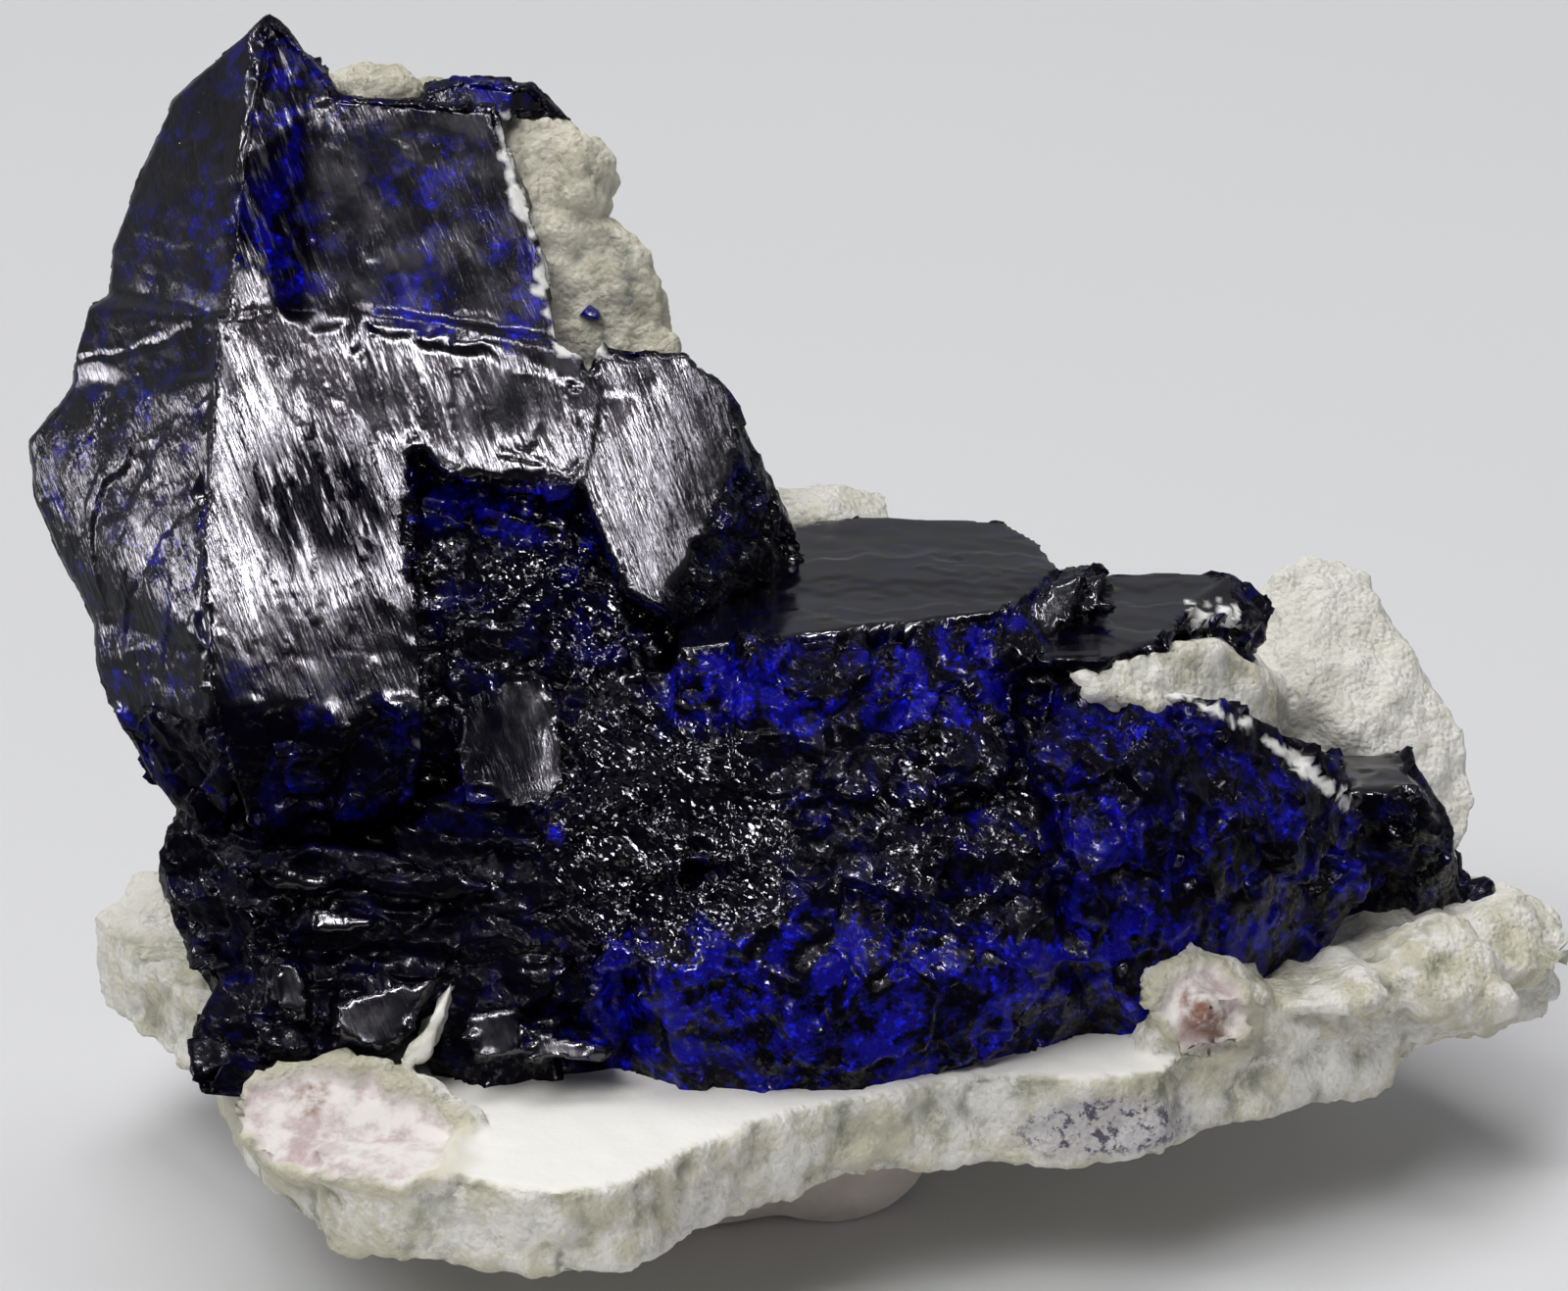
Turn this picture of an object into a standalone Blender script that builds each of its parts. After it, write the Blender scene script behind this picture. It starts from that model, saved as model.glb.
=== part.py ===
"""Azurite specimen on white matrix.

An upright azurite crystal and a low azurite mass have grown together on a slab of white, clayey matrix.
A crust of the same matrix clings to the back and right edge of the upright crystal, and the slab stands
on a pad of putty.

Lengths are in millimetres until finish() scales them to metres. +Z is up and +Y runs away from the viewer.
The finished part's origin is the middle of the putty pad's flat underside.
"""

import math
from random import Random

import bmesh
import bpy
from mathutils import Matrix, Vector, noise

MM = 0.001

# The front view, in which most places are measured
VIEW_TILT = math.radians(20)
VIEW_DISTANCE = 320
PICTURE_CENTRE_HEIGHT = 35.9

# The gap that the matrix keeps to the crystals, and the pad to the matrix
BED_CLEARANCE = 0.85

# Heights above the floor
SLAB_TOP = 14.0
SLAB_BOTTOM = 8.8
LOW_TOP = 37.3
SHELF_TOP = 35.0
WEDGE_TOP = 24.0

# The putty pad, seen from above, and how high its widest part lies
PAD_CENTRE = (-5.5, 10)
PAD_HALF_SIZE = (14.5, 11.5, 6.5)
PAD_MIDDLE_HEIGHT = 4.2

# The slab's outline and its thick right end, seen from above
SLAB_OUTLINE = [
    (-40.5, 14), (-37.5, 8), (-33, 2), (-31, -5), (-28, -13), (-24.5, -20), (-20, -22), (-16, -22.5),
    (-12, -24), (-8, -22.5), (-5, -18.5), (-1, -14.5), (3, -12.5), (7, -10.5), (11, -9), (15, -9.2),
    (21, -8.8), (22.5, -6), (27, -4), (31, -1.5), (34.5, 1), (37, 7), (41, 8.5), (44.5, 11), (45.5, 13.5),
    (42, 19), (38, 24), (33, 29), (25, 32), (15, 31.5), (6, 33), (-4, 31), (-13, 28.5), (-22, 27),
    (-30, 24), (-37, 20),
]
THICK_OUTLINE = [
    (20, -6.5), (22, -5.5), (27, -3.5), (34, 1.5), (38, 8), (43, 11.5), (40, 20), (34, 27), (24, 29), (16, 20),
]
THICK_TOP = 15.2
# Lumps on the slab's rim. Name, centre, radii
SLAB_LUMPS = [
    ("right_nodule", (23.2, -2.4, 15.4), (4.0, 4.6, 3.4)),
    ("rim_knob_1", (30, 1.0, 14.6), (4.5, 4.5, 3.0)),
    ("rim_knob_2", (36.5, 5.5, 13.4), (4.6, 5.0, 3.4)),
    ("rim_knob_3", (41, 11.5, 13.0), (4.4, 5.0, 3.2)),
    ("left_end", (-36, 15, 11.8), (4.0, 5.0, 3.2)),
]
# Knobs on the far rim, seen past the low mass. Centre as (right, up, back), radii
FAR_KNOBS = [
    ((2.4, 6.0, 20.0), (4.4, 3.2, 3.2)),
    ((-2.6, 4.0, 20.0), (4.6, 3.0, 3.0)),
    ((8.5, 4.3, 19.6), (5.0, 3.2, 3.0)),
]
# The left nodule's broken oval face: its middle as (right, up, back), its half sizes and how it leans
NODULE_FACE = (-23.3, -26.3, -7.5)
NODULE_HALF_WIDTH = 7.0
NODULE_HALF_HEIGHT = 3.7
NODULE_LEAN = 0.76
NODULE_SKEW = -0.12
NODULE_CORNERS = 14
NODULE_BULGE = 3
NODULE_SAG = 2.5
NODULE_FOOT_BACK = 2
NODULE_FOOT_HEIGHT = 1.5
# The lumps over the slab's broken back: how far left and how wide the row is, where it lies, how it curves
# forward at its ends, how much its middle rises, and the lumps' radii
REAR_LUMPS = 26
REAR_SEED = 11
REAR_LEFT = -30
REAR_WIDTH = 66
REAR_BACK = 27.5
REAR_END_CURVE = 9
REAR_RISE = 12
REAR_RADII = (2.6, 4.8)
# The upper crust's patches and lumps. Name, outline as (right, up, back), thickness
CRUST_PATCHES = [
    ("crust_upper", [
        (-20, 30.2, 2), (-15, 29.4, 1.0), (-12, 28.6, 1.2), (-9.9, 26.6, 2), (-10.2, 23.2, 1.2),
        (-16, 21, 0.5),
    ], 6),
    ("crust_lower", [
        (-16, 24, 0.8), (-10.0, 23.3, 0.6), (-7.8, 21.6, 1), (-7.0, 19, 1), (-6.0, 16.4, 0.5),
        (-9, 14.0, 0.5), (-15, 14, 1),
    ], 6),
    ("crust_back", [
        (-32, 25, 7), (-26, 30.5, 6), (-19, 31.0, 6), (-11, 26, 5.5), (-8, 17, 5.5), (-13, 9, 6.5),
        (-23, 5, 7.5), (-33, 14, 8.5),
    ], 4.5),
    ("crust_tongue", [
        (-30, 14, 7), (-18, 12, 6.5), (-20, 0, 7.5), (-24, -4, 8), (-29, 3, 8),
    ], 4.5),
]
# The lumps over the crust's back: their middle and reach as (right, up), how far back they lie, and their radii
CRUST_BACK_LUMPS = 22
CRUST_SEED = 5
CRUST_BACK_MIDDLE = (-20.5, 18)
CRUST_BACK_REACH = (9.5, 11)
CRUST_BACK_DEPTH = 10.2
CRUST_BACK_CURVE = 1.5
CRUST_BACK_WIDE = (1.8, 3.6)
CRUST_BACK_DEEP = (1.2, 2.4)
# Name, centre as (right, up, back), radii
CRUST_LUMPS = [
    ("crust_knob_1", (-22.5, 30.6, 3.0), (2.6, 2.4, 1.4)),
    ("crust_knob_2", (-11.2, 25.5, 2.5), (1.8, 2.6, 2.4)),
    ("crust_knob_3", (-8.6, 19.5, 2.2), (1.8, 2.4, 2.6)),
]

# Relief, as layers of height and wavelength, and the share of it that smoother places take
AZURITE_RELIEF = [(0.9, 5.0), (0.5, 2.2)]
MATRIX_RELIEF = [(1.2, 6.0), (0.9, 2.6)]
CRUST_RELIEF = [(1.0, 3.5), (0.7, 1.6)]
FLAT_FACE_SHARE = 0.12
SMOOTH_TOP_SHARE = 0.3
# Where the flat faces and the smooth top lie, and how far a surface must be turned to belong to them
UPRIGHT_RIGHT = -2
UPRIGHT_FOOT = 36
SMOOTH_TOP_RIGHT = 12
SMOOTH_TOP_BACK = 4
LEVEL = 0.9
NEARLY_LEVEL = 0.7
FACING_FRONT = 0.6
# How finely each solid is worked, and its share of the triangles
AZURITE_VOXEL = 0.45
MATRIX_VOXEL = 0.6
CRUST_VOXEL = 0.4
BED_VOXEL = 0.6
AZURITE_TRIANGLES = 4000
SLAB_TRIANGLES = 2300
CRUST_TRIANGLES = 1000
BED_TRIANGLES = 3000
GOLDEN_ANGLE = math.radians(137.5)

AZURITE_COLOUR = (0.01, 0.015, 0.20)
MATRIX_COLOUR = (0.78, 0.75, 0.67)
CRUST_COLOUR = (0.74, 0.71, 0.60)
PUTTY_COLOUR = (0.60, 0.56, 0.50)


def clear_scene():
    for obj in list(bpy.data.objects):
        bpy.data.objects.remove(obj)


def new_collection(name, hidden=False):
    collection = bpy.data.collections.new(name)
    bpy.context.scene.collection.children.link(collection)
    collection.hide_render = hidden
    return collection


def seen(right, up, back):
    """The place of a point seen `right` and `up` on the picture plane and lying `back` behind it."""
    spread = 1 + back / VIEW_DISTANCE
    tilt_sin, tilt_cos = math.sin(VIEW_TILT), math.cos(VIEW_TILT)
    return Vector((
        right * spread,
        up * spread * tilt_sin + back * tilt_cos,
        PICTURE_CENTRE_HEIGHT + up * spread * tilt_cos - back * tilt_sin,
    ))


def seen_at_height(right, up, height):
    """The place of a point seen `right` and `up` on the picture plane and lying `height` above the surface."""
    tilt_sin, tilt_cos = math.sin(VIEW_TILT), math.cos(VIEW_TILT)
    back = (PICTURE_CENTRE_HEIGHT + up * tilt_cos - height) / (tilt_sin - up * tilt_cos / VIEW_DISTANCE)
    return seen(right, up, back)


def add_mesh_object(name, bm, collection):
    mesh = bpy.data.meshes.new(name)
    bm.to_mesh(mesh)
    bm.free()
    obj = bpy.data.objects.new(name, mesh)
    collection.objects.link(obj)
    return obj


def hull(name, corners, collection):
    """A crystal block: the convex solid with these corners."""
    bm = bmesh.new()
    for corner in corners:
        bm.verts.new(corner)
    made = bmesh.ops.convex_hull(bm, input=bm.verts)
    inside = [g for g in made["geom_interior"] + made["geom_unused"] if isinstance(g, bmesh.types.BMVert)]
    bmesh.ops.delete(bm, geom=list(set(inside)), context="VERTS")
    bmesh.ops.recalc_face_normals(bm, faces=bm.faces)
    return add_mesh_object(name, bm, collection)


def plate(name, face, thickness, collection):
    """A crystal plate: its front face's corners as (right, up, back), carried back by its thickness."""
    front = [seen(*corner) for corner in face]
    rear = [seen(right, up, back + thickness) for right, up, back in face]
    return hull(name, front + rear, collection)


def lump(name, centre, radii, collection, turn=0.0):
    """A rounded lump of matrix."""
    bm = bmesh.new()
    bmesh.ops.create_icosphere(bm, subdivisions=3, radius=1.0)
    shape = Matrix.Translation(centre) @ Matrix.Rotation(turn, 4, "Z") @ Matrix.Diagonal((*radii, 1))
    bmesh.ops.transform(bm, matrix=shape, verts=bm.verts)
    return add_mesh_object(name, bm, collection)


def bake(obj):
    """Puts the object's evaluated mesh in place of its mesh and modifiers."""
    evaluated = obj.evaluated_get(bpy.context.evaluated_depsgraph_get())
    mesh = bpy.data.meshes.new_from_object(evaluated)
    obj.modifiers.clear()
    obj.data = mesh


def remesh(obj, voxel):
    modifier = obj.modifiers.new("Remesh", "REMESH")
    modifier.mode = "VOXEL"
    modifier.voxel_size = voxel
    bake(obj)


def roughen(obj, layers, share=None):
    """Moves each vertex along its normal by layers of noise, given as (height, wavelength)."""
    mesh = obj.data
    normals = [vertex.normal.copy() for vertex in mesh.vertices]
    for vertex, normal in zip(mesh.vertices, normals):
        shift = sum(height * noise.noise(vertex.co / wavelength) for height, wavelength in layers)
        vertex.co += normal * shift * (share(vertex.co, normal) if share else 1.0)


def simplify(obj, triangles):
    """Collapses the mesh to about this many triangles."""
    mesh = obj.data
    mesh.calc_loop_triangles()
    modifier = obj.modifiers.new("Decimate", "DECIMATE")
    modifier.ratio = min(1.0, triangles / len(mesh.loop_triangles))
    modifier.use_collapse_triangulate = True
    bake(obj)


def keep_largest_body(obj):
    """Drops chips that a cut has separated from the main body, and closed pockets inside it."""
    bm = bmesh.new()
    bm.from_mesh(obj.data)
    left = set(bm.verts)
    bodies = []
    while left:
        body, edge = set(), [left.pop()]
        while edge:
            vertex = edge.pop()
            body.add(vertex)
            near = [link.other_vert(vertex) for link in vertex.link_edges]
            fresh = [v for v in near if v in left]
            left.difference_update(fresh)
            edge.extend(fresh)
        bodies.append(body)
    largest = max(bodies, key=len)
    spare = [vertex for vertex in bm.verts if vertex not in largest]
    bmesh.ops.delete(bm, geom=spare, context="VERTS")
    bm.to_mesh(obj.data)
    bm.free()


def boolean(obj, operation, other=None, collection=None):
    modifier = obj.modifiers.new(operation.title(), "BOOLEAN")
    modifier.operation = operation
    modifier.solver = "EXACT"
    if collection:
        modifier.operand_type = "COLLECTION"
        modifier.collection = collection
    else:
        modifier.object = other
    bake(obj)


def inflated(obj, name, growth, voxel, triangles, collection):
    """A smoother copy of the object, grown outwards all over, for use as a cutter."""
    copy = obj.copy()
    copy.data = obj.data.copy()
    copy.name = name
    collection.objects.link(copy)
    remesh(copy, voxel)
    mesh = copy.data
    normals = [vertex.normal.copy() for vertex in mesh.vertices]
    for vertex, normal in zip(mesh.vertices, normals):
        vertex.co += normal * growth
    remesh(copy, voxel)
    simplify(copy, triangles)
    return copy


def material(name, colour, roughness):
    made = bpy.data.materials.new(name)
    made.use_nodes = True
    shader = made.node_tree.nodes["Principled BSDF"]
    shader.inputs["Base Color"].default_value = (*colour, 1)
    shader.inputs["Roughness"].default_value = roughness
    shader.inputs["Metallic"].default_value = 0
    return made


def upright_crystal(blocks):
    """The tall crystal: overlapping plates whose front faces meet in a ridge that runs from the peak down."""
    plate("peak", [
        (-28.6, 34.6, -2), (-27.4, 34.0, -2), (-25.3, 31.5, -2), (-24.6, 30.3, -2.3), (-33.7, 30.0, 0.5),
        (-34.2, 28.0, 0.8), (-37.0, 22.0, 1.5), (-37.2, 19.0, 1.5), (-29.8, 27.0, -5), (-30.5, 19.0, -6.1),
        (-24.5, 21.0, -3.6), (-31.0, 14.0, -6.1),
    ], 8, blocks)
    plate("upper_face", [
        (-24.8, 30.3, -2.3), (-19.5, 29.9, -2), (-16.0, 29.8, -1.5), (-15.5, 28.0, -1.6), (-15.5, 25.5, -2),
        (-13.5, 22.3, -2.2), (-13.3, 19.0, -2.6), (-12.4, 16.0, -3), (-20.6, 12.0, -5), (-30.3, 17.0, -6.2),
        (-29.5, 27.0, -4.9),
    ], 3.5, blocks)
    plate("upright_body", [
        (-25.6, 30.0, 0), (-20.0, 29.4, 0), (-17.5, 25.0, 0), (-15.5, 19.0, 0), (-12.5, 12.0, 0),
        (-19.0, -4.0, -1), (-33.0, -4.0, -1), (-36.5, 10.0, 2.2), (-36.0, 19.0, 2), (-33.0, 28.0, 1),
    ], 7.5, blocks)
    plate("hook", [
        (-19.7, 30.9, -0.5), (-18.2, 31.4, 0), (-13.9, 31.1, 1), (-11.8, 28.9, 3), (-13.2, 29.4, 2),
        (-16.5, 29.2, -0.8), (-20.0, 29.4, -0.8),
    ], 5.5, blocks)
    plate("left_knob", [
        (-36.6, 19.6, 1), (-38.3, 18.6, 1.2), (-39.0, 16.2, 1.3), (-39.2, 14.0, 1.5), (-31.2, 18.0, -5.6),
        (-31.6, 13.0, -6.2),
    ], 7, blocks)
    plate("left_lobe", [
        (-39.2, 14.3, 1.5), (-40.1, 13.0, 2), (-41.6, 11.3, 3), (-41.2, 8.0, 3), (-40.0, 5.2, 2.5),
        (-38.4, 2.6, 2), (-37.6, 0.6, 1.6), (-31.4, 15.0, -6.4), (-32.0, 0.0, -7.0),
    ], 9, blocks)
    plate("left_lobe_foot", [
        (-37.9, 1.2, 1.6), (-37.9, -1.0, 1.5), (-37.3, -2.6, 1.6), (-36.0, -4.6, 1.6), (-35.0, -7.0, 1.4),
        (-33.2, -9.1, 0.8), (-30.8, -10.6, -0.5), (-31.6, 1.6, -7.3), (-30.4, -5.5, -6.4),
    ], 8, blocks)
    plate("main_face", [
        (-31.2, 18.0, -6.4), (-32.0, 8.0, -7.1), (-32.0, 1.0, -7.6), (-20.3, 1.0, -6.0), (-19.6, 5.0, -5.5),
        (-20.8, 11.0, -5.3), (-24.0, 19.0, -5.2), (-30.6, -6.0, -6.2), (-20.0, -6.0, -4.4),
        (-29.0, -10.9, -2.4), (-27.0, -11.3, -1.6), (-21.0, -9.6, -1.4),
    ], 9, blocks)
    plate("right_layer", [
        (-21.2, 12.0, -5.4), (-18.7, 9.4, -5.2), (-17.4, 8.8, -5.1), (-12.2, 8.2, -4.7), (-11.0, 9.2, -4.5),
        (-10.3, 13.0, -4), (-11.3, 15.8, -3.6), (-13.0, 17.0, -3.3), (-20.0, 18.0, -4.9),
    ], 5, blocks)
    plate("right_body", [
        (-18.0, 12.0, -1), (-9.0, 12.0, -1), (-7.5, 6.0, 0), (-9.0, 0.0, 0), (-20.0, 0.0, -1),
    ], 10, blocks)
    hull("point", [seen(*corner) for corner in [
        (-11.3, 9.5, -4.4), (-11.4, 14.0, -3.7), (-10.1, 16.5, -3.1), (-8.9, 15.5, -3), (-6.0, 15.9, -2.5),
        (-5.3, 16.3, -2.3), (-3.3, 14.2, -1.4), (-2.5, 12.2, -1), (-2.2, 10.2, -1), (-5.4, 4.6, -3),
        (-7.3, 2.2, -4), (-8.4, 2.9, -4.3), (-9.8, 5.5, -4.5), (1.2, 5.3, 9), (1.1, 3.6, 10),
        (-0.6, 1.2, 8), (-4.8, -0.2, 3), (-1.7, 10.2, 9), (-3.2, 13.2, 9), (-8.5, 14.0, 8), (-10.0, 2.0, 6),
    ]], blocks)


def broken_middle(blocks):
    """The hollow between the upright crystal and the low mass, where the crystal has broken away."""
    plate("hollow", [
        (-20.6, 10.5, -0.5), (-12.5, 8.6, -0.8), (-10.8, 7.0, -0.8), (-8.6, 2.5, 0), (-6.5, 0.5, 1.5),
        (-4.5, -1.5, 1.5), (-6.0, -6.0, -2), (-12.0, -3.0, -2.2), (-18.6, -2.0, -3.5), (-19.8, 4.0, -3.5),
        (-22.0, -7.0, -2.4),
    ], 11, blocks)
    plate("curved_break", [
        (-17.8, -1.0, -3.8), (-14.0, -1.3, -4.3), (-12.6, -2.3, -4.6), (-11.8, -5.0, -4.9), (-12.0, -7.5, -5),
        (-14.0, -9.2, -5.2), (-17.5, -8.8, -4.8), (-18.8, -4.5, -4.6),
    ], 9, blocks)
    plate("middle_wall", [
        (-13.0, -2.4, -2.5), (-6.0, -1.2, -3), (-5.0, -10.0, -5.4), (-6.5, -17.0, -5.8), (-12.0, -18.5, -4.6),
        (-18.5, -17.5, -3.6), (-21.5, -11.0, -2.6), (-12.0, -10.0, -5.2),
    ], 12, blocks)


def lower_left_crystals(blocks):
    """Small broken crystals under the upright crystal's overhang."""
    plate("flank", [
        (-33.2, -8.6, 2), (-34.3, -12.0, 2.5), (-33.9, -14.0, 2.5), (-33.0, -16.5, 2), (-31.2, -19.2, 1),
        (-30.0, -9.5, -0.5), (-29.0, -19.0, -1.5), (-28.5, -12.0, -1),
    ], 9, blocks)
    hull("corner", [seen(*corner) for corner in [
        (-31.2, -18.2, 0), (-32.1, -20.5, -0.6), (-32.9, -21.6, -1), (-32.6, -23.2, -2), (-28.6, -22.7, -3.4),
        (-28.3, -18.5, -2.4), (-30.5, -18.0, 8), (-31.5, -21.5, 7), (-28.0, -20.0, 8),
    ]] + [seen_at_height(-32.2, -25.0, SLAB_TOP - 0.6), seen_at_height(-29.8, -25.1, SLAB_TOP - 0.6)], blocks)
    plate("teeth", [
        (-29.6, -13.2, -1.4), (-29.2, -22.6, -3), (-25.0, -22.5, -3.6), (-21.8, -22.6, -3.6),
        (-20.3, -20.4, -4), (-18.2, -17.6, -4), (-18.0, -13.0, -3.2), (-24.0, -13.0, -3),
    ], 8, blocks)
    plate("bright_tooth", [
        (-26.1, -14.3, -4.3), (-22.4, -15.1, -4.6), (-24.0, -15.7, -4.5), (-26.2, -15.5, -4.3),
        (-29.0, -16.8, -3), (-20.0, -16.8, -3.6),
    ], 4, blocks)
    plate("shelf_under_lobe", [
        (-32.6, -10.2, -0.5), (-22.0, -11.4, -4.4), (-16.0, -13.3, -5), (-18.5, -14.0, -4.8),
        (-25.0, -13.2, -4.2), (-30.5, -12.6, -2),
    ], 7, blocks)
    plate("fan", [
        (-24.5, -17.9, -4.2), (-18.6, -17.9, -4.6), (-21.9, -22.4, -4.4), (-25.0, -22.3, -4),
    ], 3, blocks)
    plate("corner_blade", [
        (-28.4, -17.2, -3.4), (-26.8, -17.4, -3.8), (-26.2, -22.3, -4.2), (-28.8, -22.5, -3.8),
    ], 3, blocks)


def low_mass(blocks):
    """The low crystal mass with its flat top, the shelf beside it and the rough wall that flares to the slab."""
    top = [(-6.0, -0.2), (-2.0, 0.8), (3.0, 0.95), (8.0, 1.35), (12.8, 2.1), (14.9, 4.3), (14.2, 5.6),
           (12.2, 6.9), (4.4, 7.1), (1.0, 6.4), (-5.0, 6.0)]
    hull("low_block", [seen_at_height(right, up, LOW_TOP) for right, up in top] + [seen(*corner) for corner in [
        (-6.5, -6.0, -4.4), (0.0, -5.0, -4.8), (6.0, -4.5, -3.8), (10.0, -4.6, -2.2), (12.9, -3.5, 0),
        (13.7, -0.6, 1.2), (12.2, -7.0, -1), (8.0, -9.5, -3), (0.0, -12.0, -5.5), (-7.0, -12.0, -5),
        (16.0, -2.0, 20), (12.0, -2.0, 26), (-2.0, -2.0, 24),
    ]], blocks)
    hull("step", [seen_at_height(*corner) for corner in [
        (12.7, 2.0, LOW_TOP - 0.2), (15.0, 4.2, LOW_TOP - 0.3), (17.6, 4.4, SHELF_TOP + 1.2),
        (14.2, -0.1, SHELF_TOP), (18.1, 3.1, SHELF_TOP), (12.0, -2.0, 32), (16.0, 2.0, 32), (14.0, 3.5, 36),
    ]], blocks)
    shelf = [(13.9, -0.9), (16.5, 3.4), (18.0, 3.9), (24.5, 4.0), (21.3, 0.5), (17.5, -0.9)]
    hull("shelf", [seen_at_height(right, up, SHELF_TOP) for right, up in shelf]
         + [seen_at_height(right, up, SHELF_TOP - 8) for right, up in [(15, -5), (21, -4), (22, -3), (17, -3)]],
         blocks)
    hull("shelf_end", [seen(*corner) for corner in [
        (20.0, 0.8, 6), (24.8, 4.1, 13), (25.8, 3.2, 13), (27.2, 2.4, 14), (27.2, 1.8, 13), (25.6, 1.3, 9),
        (24.5, 0.6, 9), (25.9, -0.9, 11.5), (26.2, -0.6, 13), (22.0, -1.5, 14), (20.0, -1.0, 11),
    ]], blocks)
    hull("right_hummock", [seen(*corner) for corner in [
        (14.3, -1.6, 0.4), (16.2, -2.2, 0), (20.0, -3.1, 0.8), (24.3, -2.9, 2.5), (28.0, -4.9, 6),
        (31.2, -7.4, 9), (32.1, -9.5, 10.5), (31.8, -13.0, 12), (30.2, -15.8, 14), (13.5, -6.0, -1.6),
        (20.0, -8.0, -1.6), (26.0, -10.0, 2), (16.0, -14.0, -2.4), (22.0, -15.0, 1), (27.0, -15.5, 6),
        (24.0, -5.5, 14), (30.0, -9.0, 18), (18.0, -5.5, 12),
    ]] + [seen_at_height(right, up, SLAB_TOP - 1) for right, up in [
        (14.5, -21.8), (20.8, -22.6), (26.0, -19.2), (29.5, -18.3), (31.0, -15.0),
    ]], blocks)
    hull("skirt", [seen(*corner) for corner in [
        (-9.0, -15.0, -5), (-2.0, -12.0, -6), (6.0, -11.0, -5), (12.0, -9.0, -2.6), (15.0, -12.0, -2.6),
        (-6.5, -19.5, -5.6), (2.0, -19.0, -6), (8.0, -18.4, -4.6), (14.0, -17.6, -2.8),
        (0.0, -10.0, 10), (14.0, -10.0, 12), (-9.0, -10.0, 8),
    ]] + [seen_at_height(right, up, SLAB_TOP - 0.6) for right, up in [
        (-11.0, -22.2), (-9.0, -23.8), (-5.5, -24.9), (-2.0, -25.2), (5.0, -24.9), (7.0, -24.3),
        (8.5, -23.4), (12.0, -23.0), (12.4, -22.0), (15.0, -21.3), (18.0, -21.5),
    ]], blocks)
    hull("left_skirt", [seen(*corner) for corner in [
        (-18.2, -17.8, -3.6), (-20.1, -21.2, -2.8), (-12.0, -18.4, -4.6), (-17.0, -17.3, -4.2),
        (-10.0, -16.0, -5), (-16.0, -20.8, -3.9), (-14.0, -14.0, 6),
    ]] + [seen_at_height(right, up, SLAB_TOP - 0.4) for right, up in [
        (-20.1, -23.1), (-19.0, -23.9), (-17.3, -24.6), (-14.5, -24.4), (-9.0, -23.5), (-14.0, -19.0),
    ]], blocks)


def valley(blocks):
    """The sunken stretch between the low mass and the right-hand hummock."""
    hull("valley", [seen(*corner) for corner in [
        (12.4, 1.4, 4), (15.0, -0.6, 4), (10.5, -3.5, 0.6), (16.5, -3.5, 1.2), (9.5, -10.0, -1.2),
        (17.5, -10.0, -0.2), (10.0, -17.5, -1.6), (17.0, -17.5, -1.0), (12.0, -2.0, 16), (18.0, -4.0, 16),
        (12.0, -16.0, 10), (18.0, -16.0, 10),
    ]], blocks)


def wedge_crystal(blocks):
    """The small sharp-edged crystal at the right end."""
    hull("wedge", [seen_at_height(right, up, WEDGE_TOP) for right, up in [
        (30.2, -5.95), (34.2, -5.9), (31.3, -8.1), (34.9, -8.0),
    ]] + [seen(36.2, -9.0, 19), seen(38.0, -14.8, 20), seen(30.0, -14.0, 21), seen(29.0, -10.0, 22)]
        + [seen_at_height(30.3, -17.0, SLAB_TOP - 1), seen_at_height(37.3, -16.4, SLAB_TOP - 1)], blocks)
    hull("wedge_sliver", [seen(*corner) for corner in [
        (37.0, -11.4, 21), (38.2, -12.8, 21.5), (39.0, -15.0, 21), (37.0, -15.4, 19.5), (35.5, -12.0, 18.5),
        (37.3, -12.5, 23), (38.2, -15.0, 23), (35.5, -14.0, 22),
    ]], blocks)


def rear_crystals(blocks):
    """The core that joins the crystals, and the plain crystals behind them."""
    hull("core", [Vector(corner) for corner in [
        (-29, -3, 13), (-28, 11, 13), (-27, 10, 34), (-20, 3, 34), (10, 20, 12.5), (27, 18, 12.5),
        (24, 17, 26), (5, 20, 33), (-12, 15, 34), (15, 2, 13), (0, -4, 13),
    ]], blocks)
    hull("rear_blade", [Vector(corner) for corner in [
        (-33, 6, 14), (-20, 17, 12.5), (-14, 19, 13), (-17, 16, 40), (-26, 12, 44), (-33, 10, 34),
        (-20, 8, 40), (-30, 4, 30),
    ]], blocks)
    hull("rear_block", [Vector(corner) for corner in [
        (-6, 12, 12.5), (-4, 22, 12.5), (9, 23, 12.5), (17, 22, 12.5), (12, 22, 31), (0, 20, 34),
        (-5, 16, 35), (14, 12, 30),
    ]], blocks)
    hull("rear_corner", [Vector(corner) for corner in [
        (10, 8, 12.5), (12, 22, 12.5), (29, 19, 12.5), (27, 8, 12.5), (14, 22, 29), (25, 20, 27.5),
        (27, 14, 26), (16, 10, 30),
    ]], blocks)
    hull("rear_splinter", [Vector(corner) for corner in [
        (-13, 14, 12.5), (-9, 22, 12.5), (-4, 20, 12.5), (-10, 20, 30), (-5, 17, 36), (-12, 13, 36),
        (-2, 13, 34),
    ]], blocks)


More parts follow.
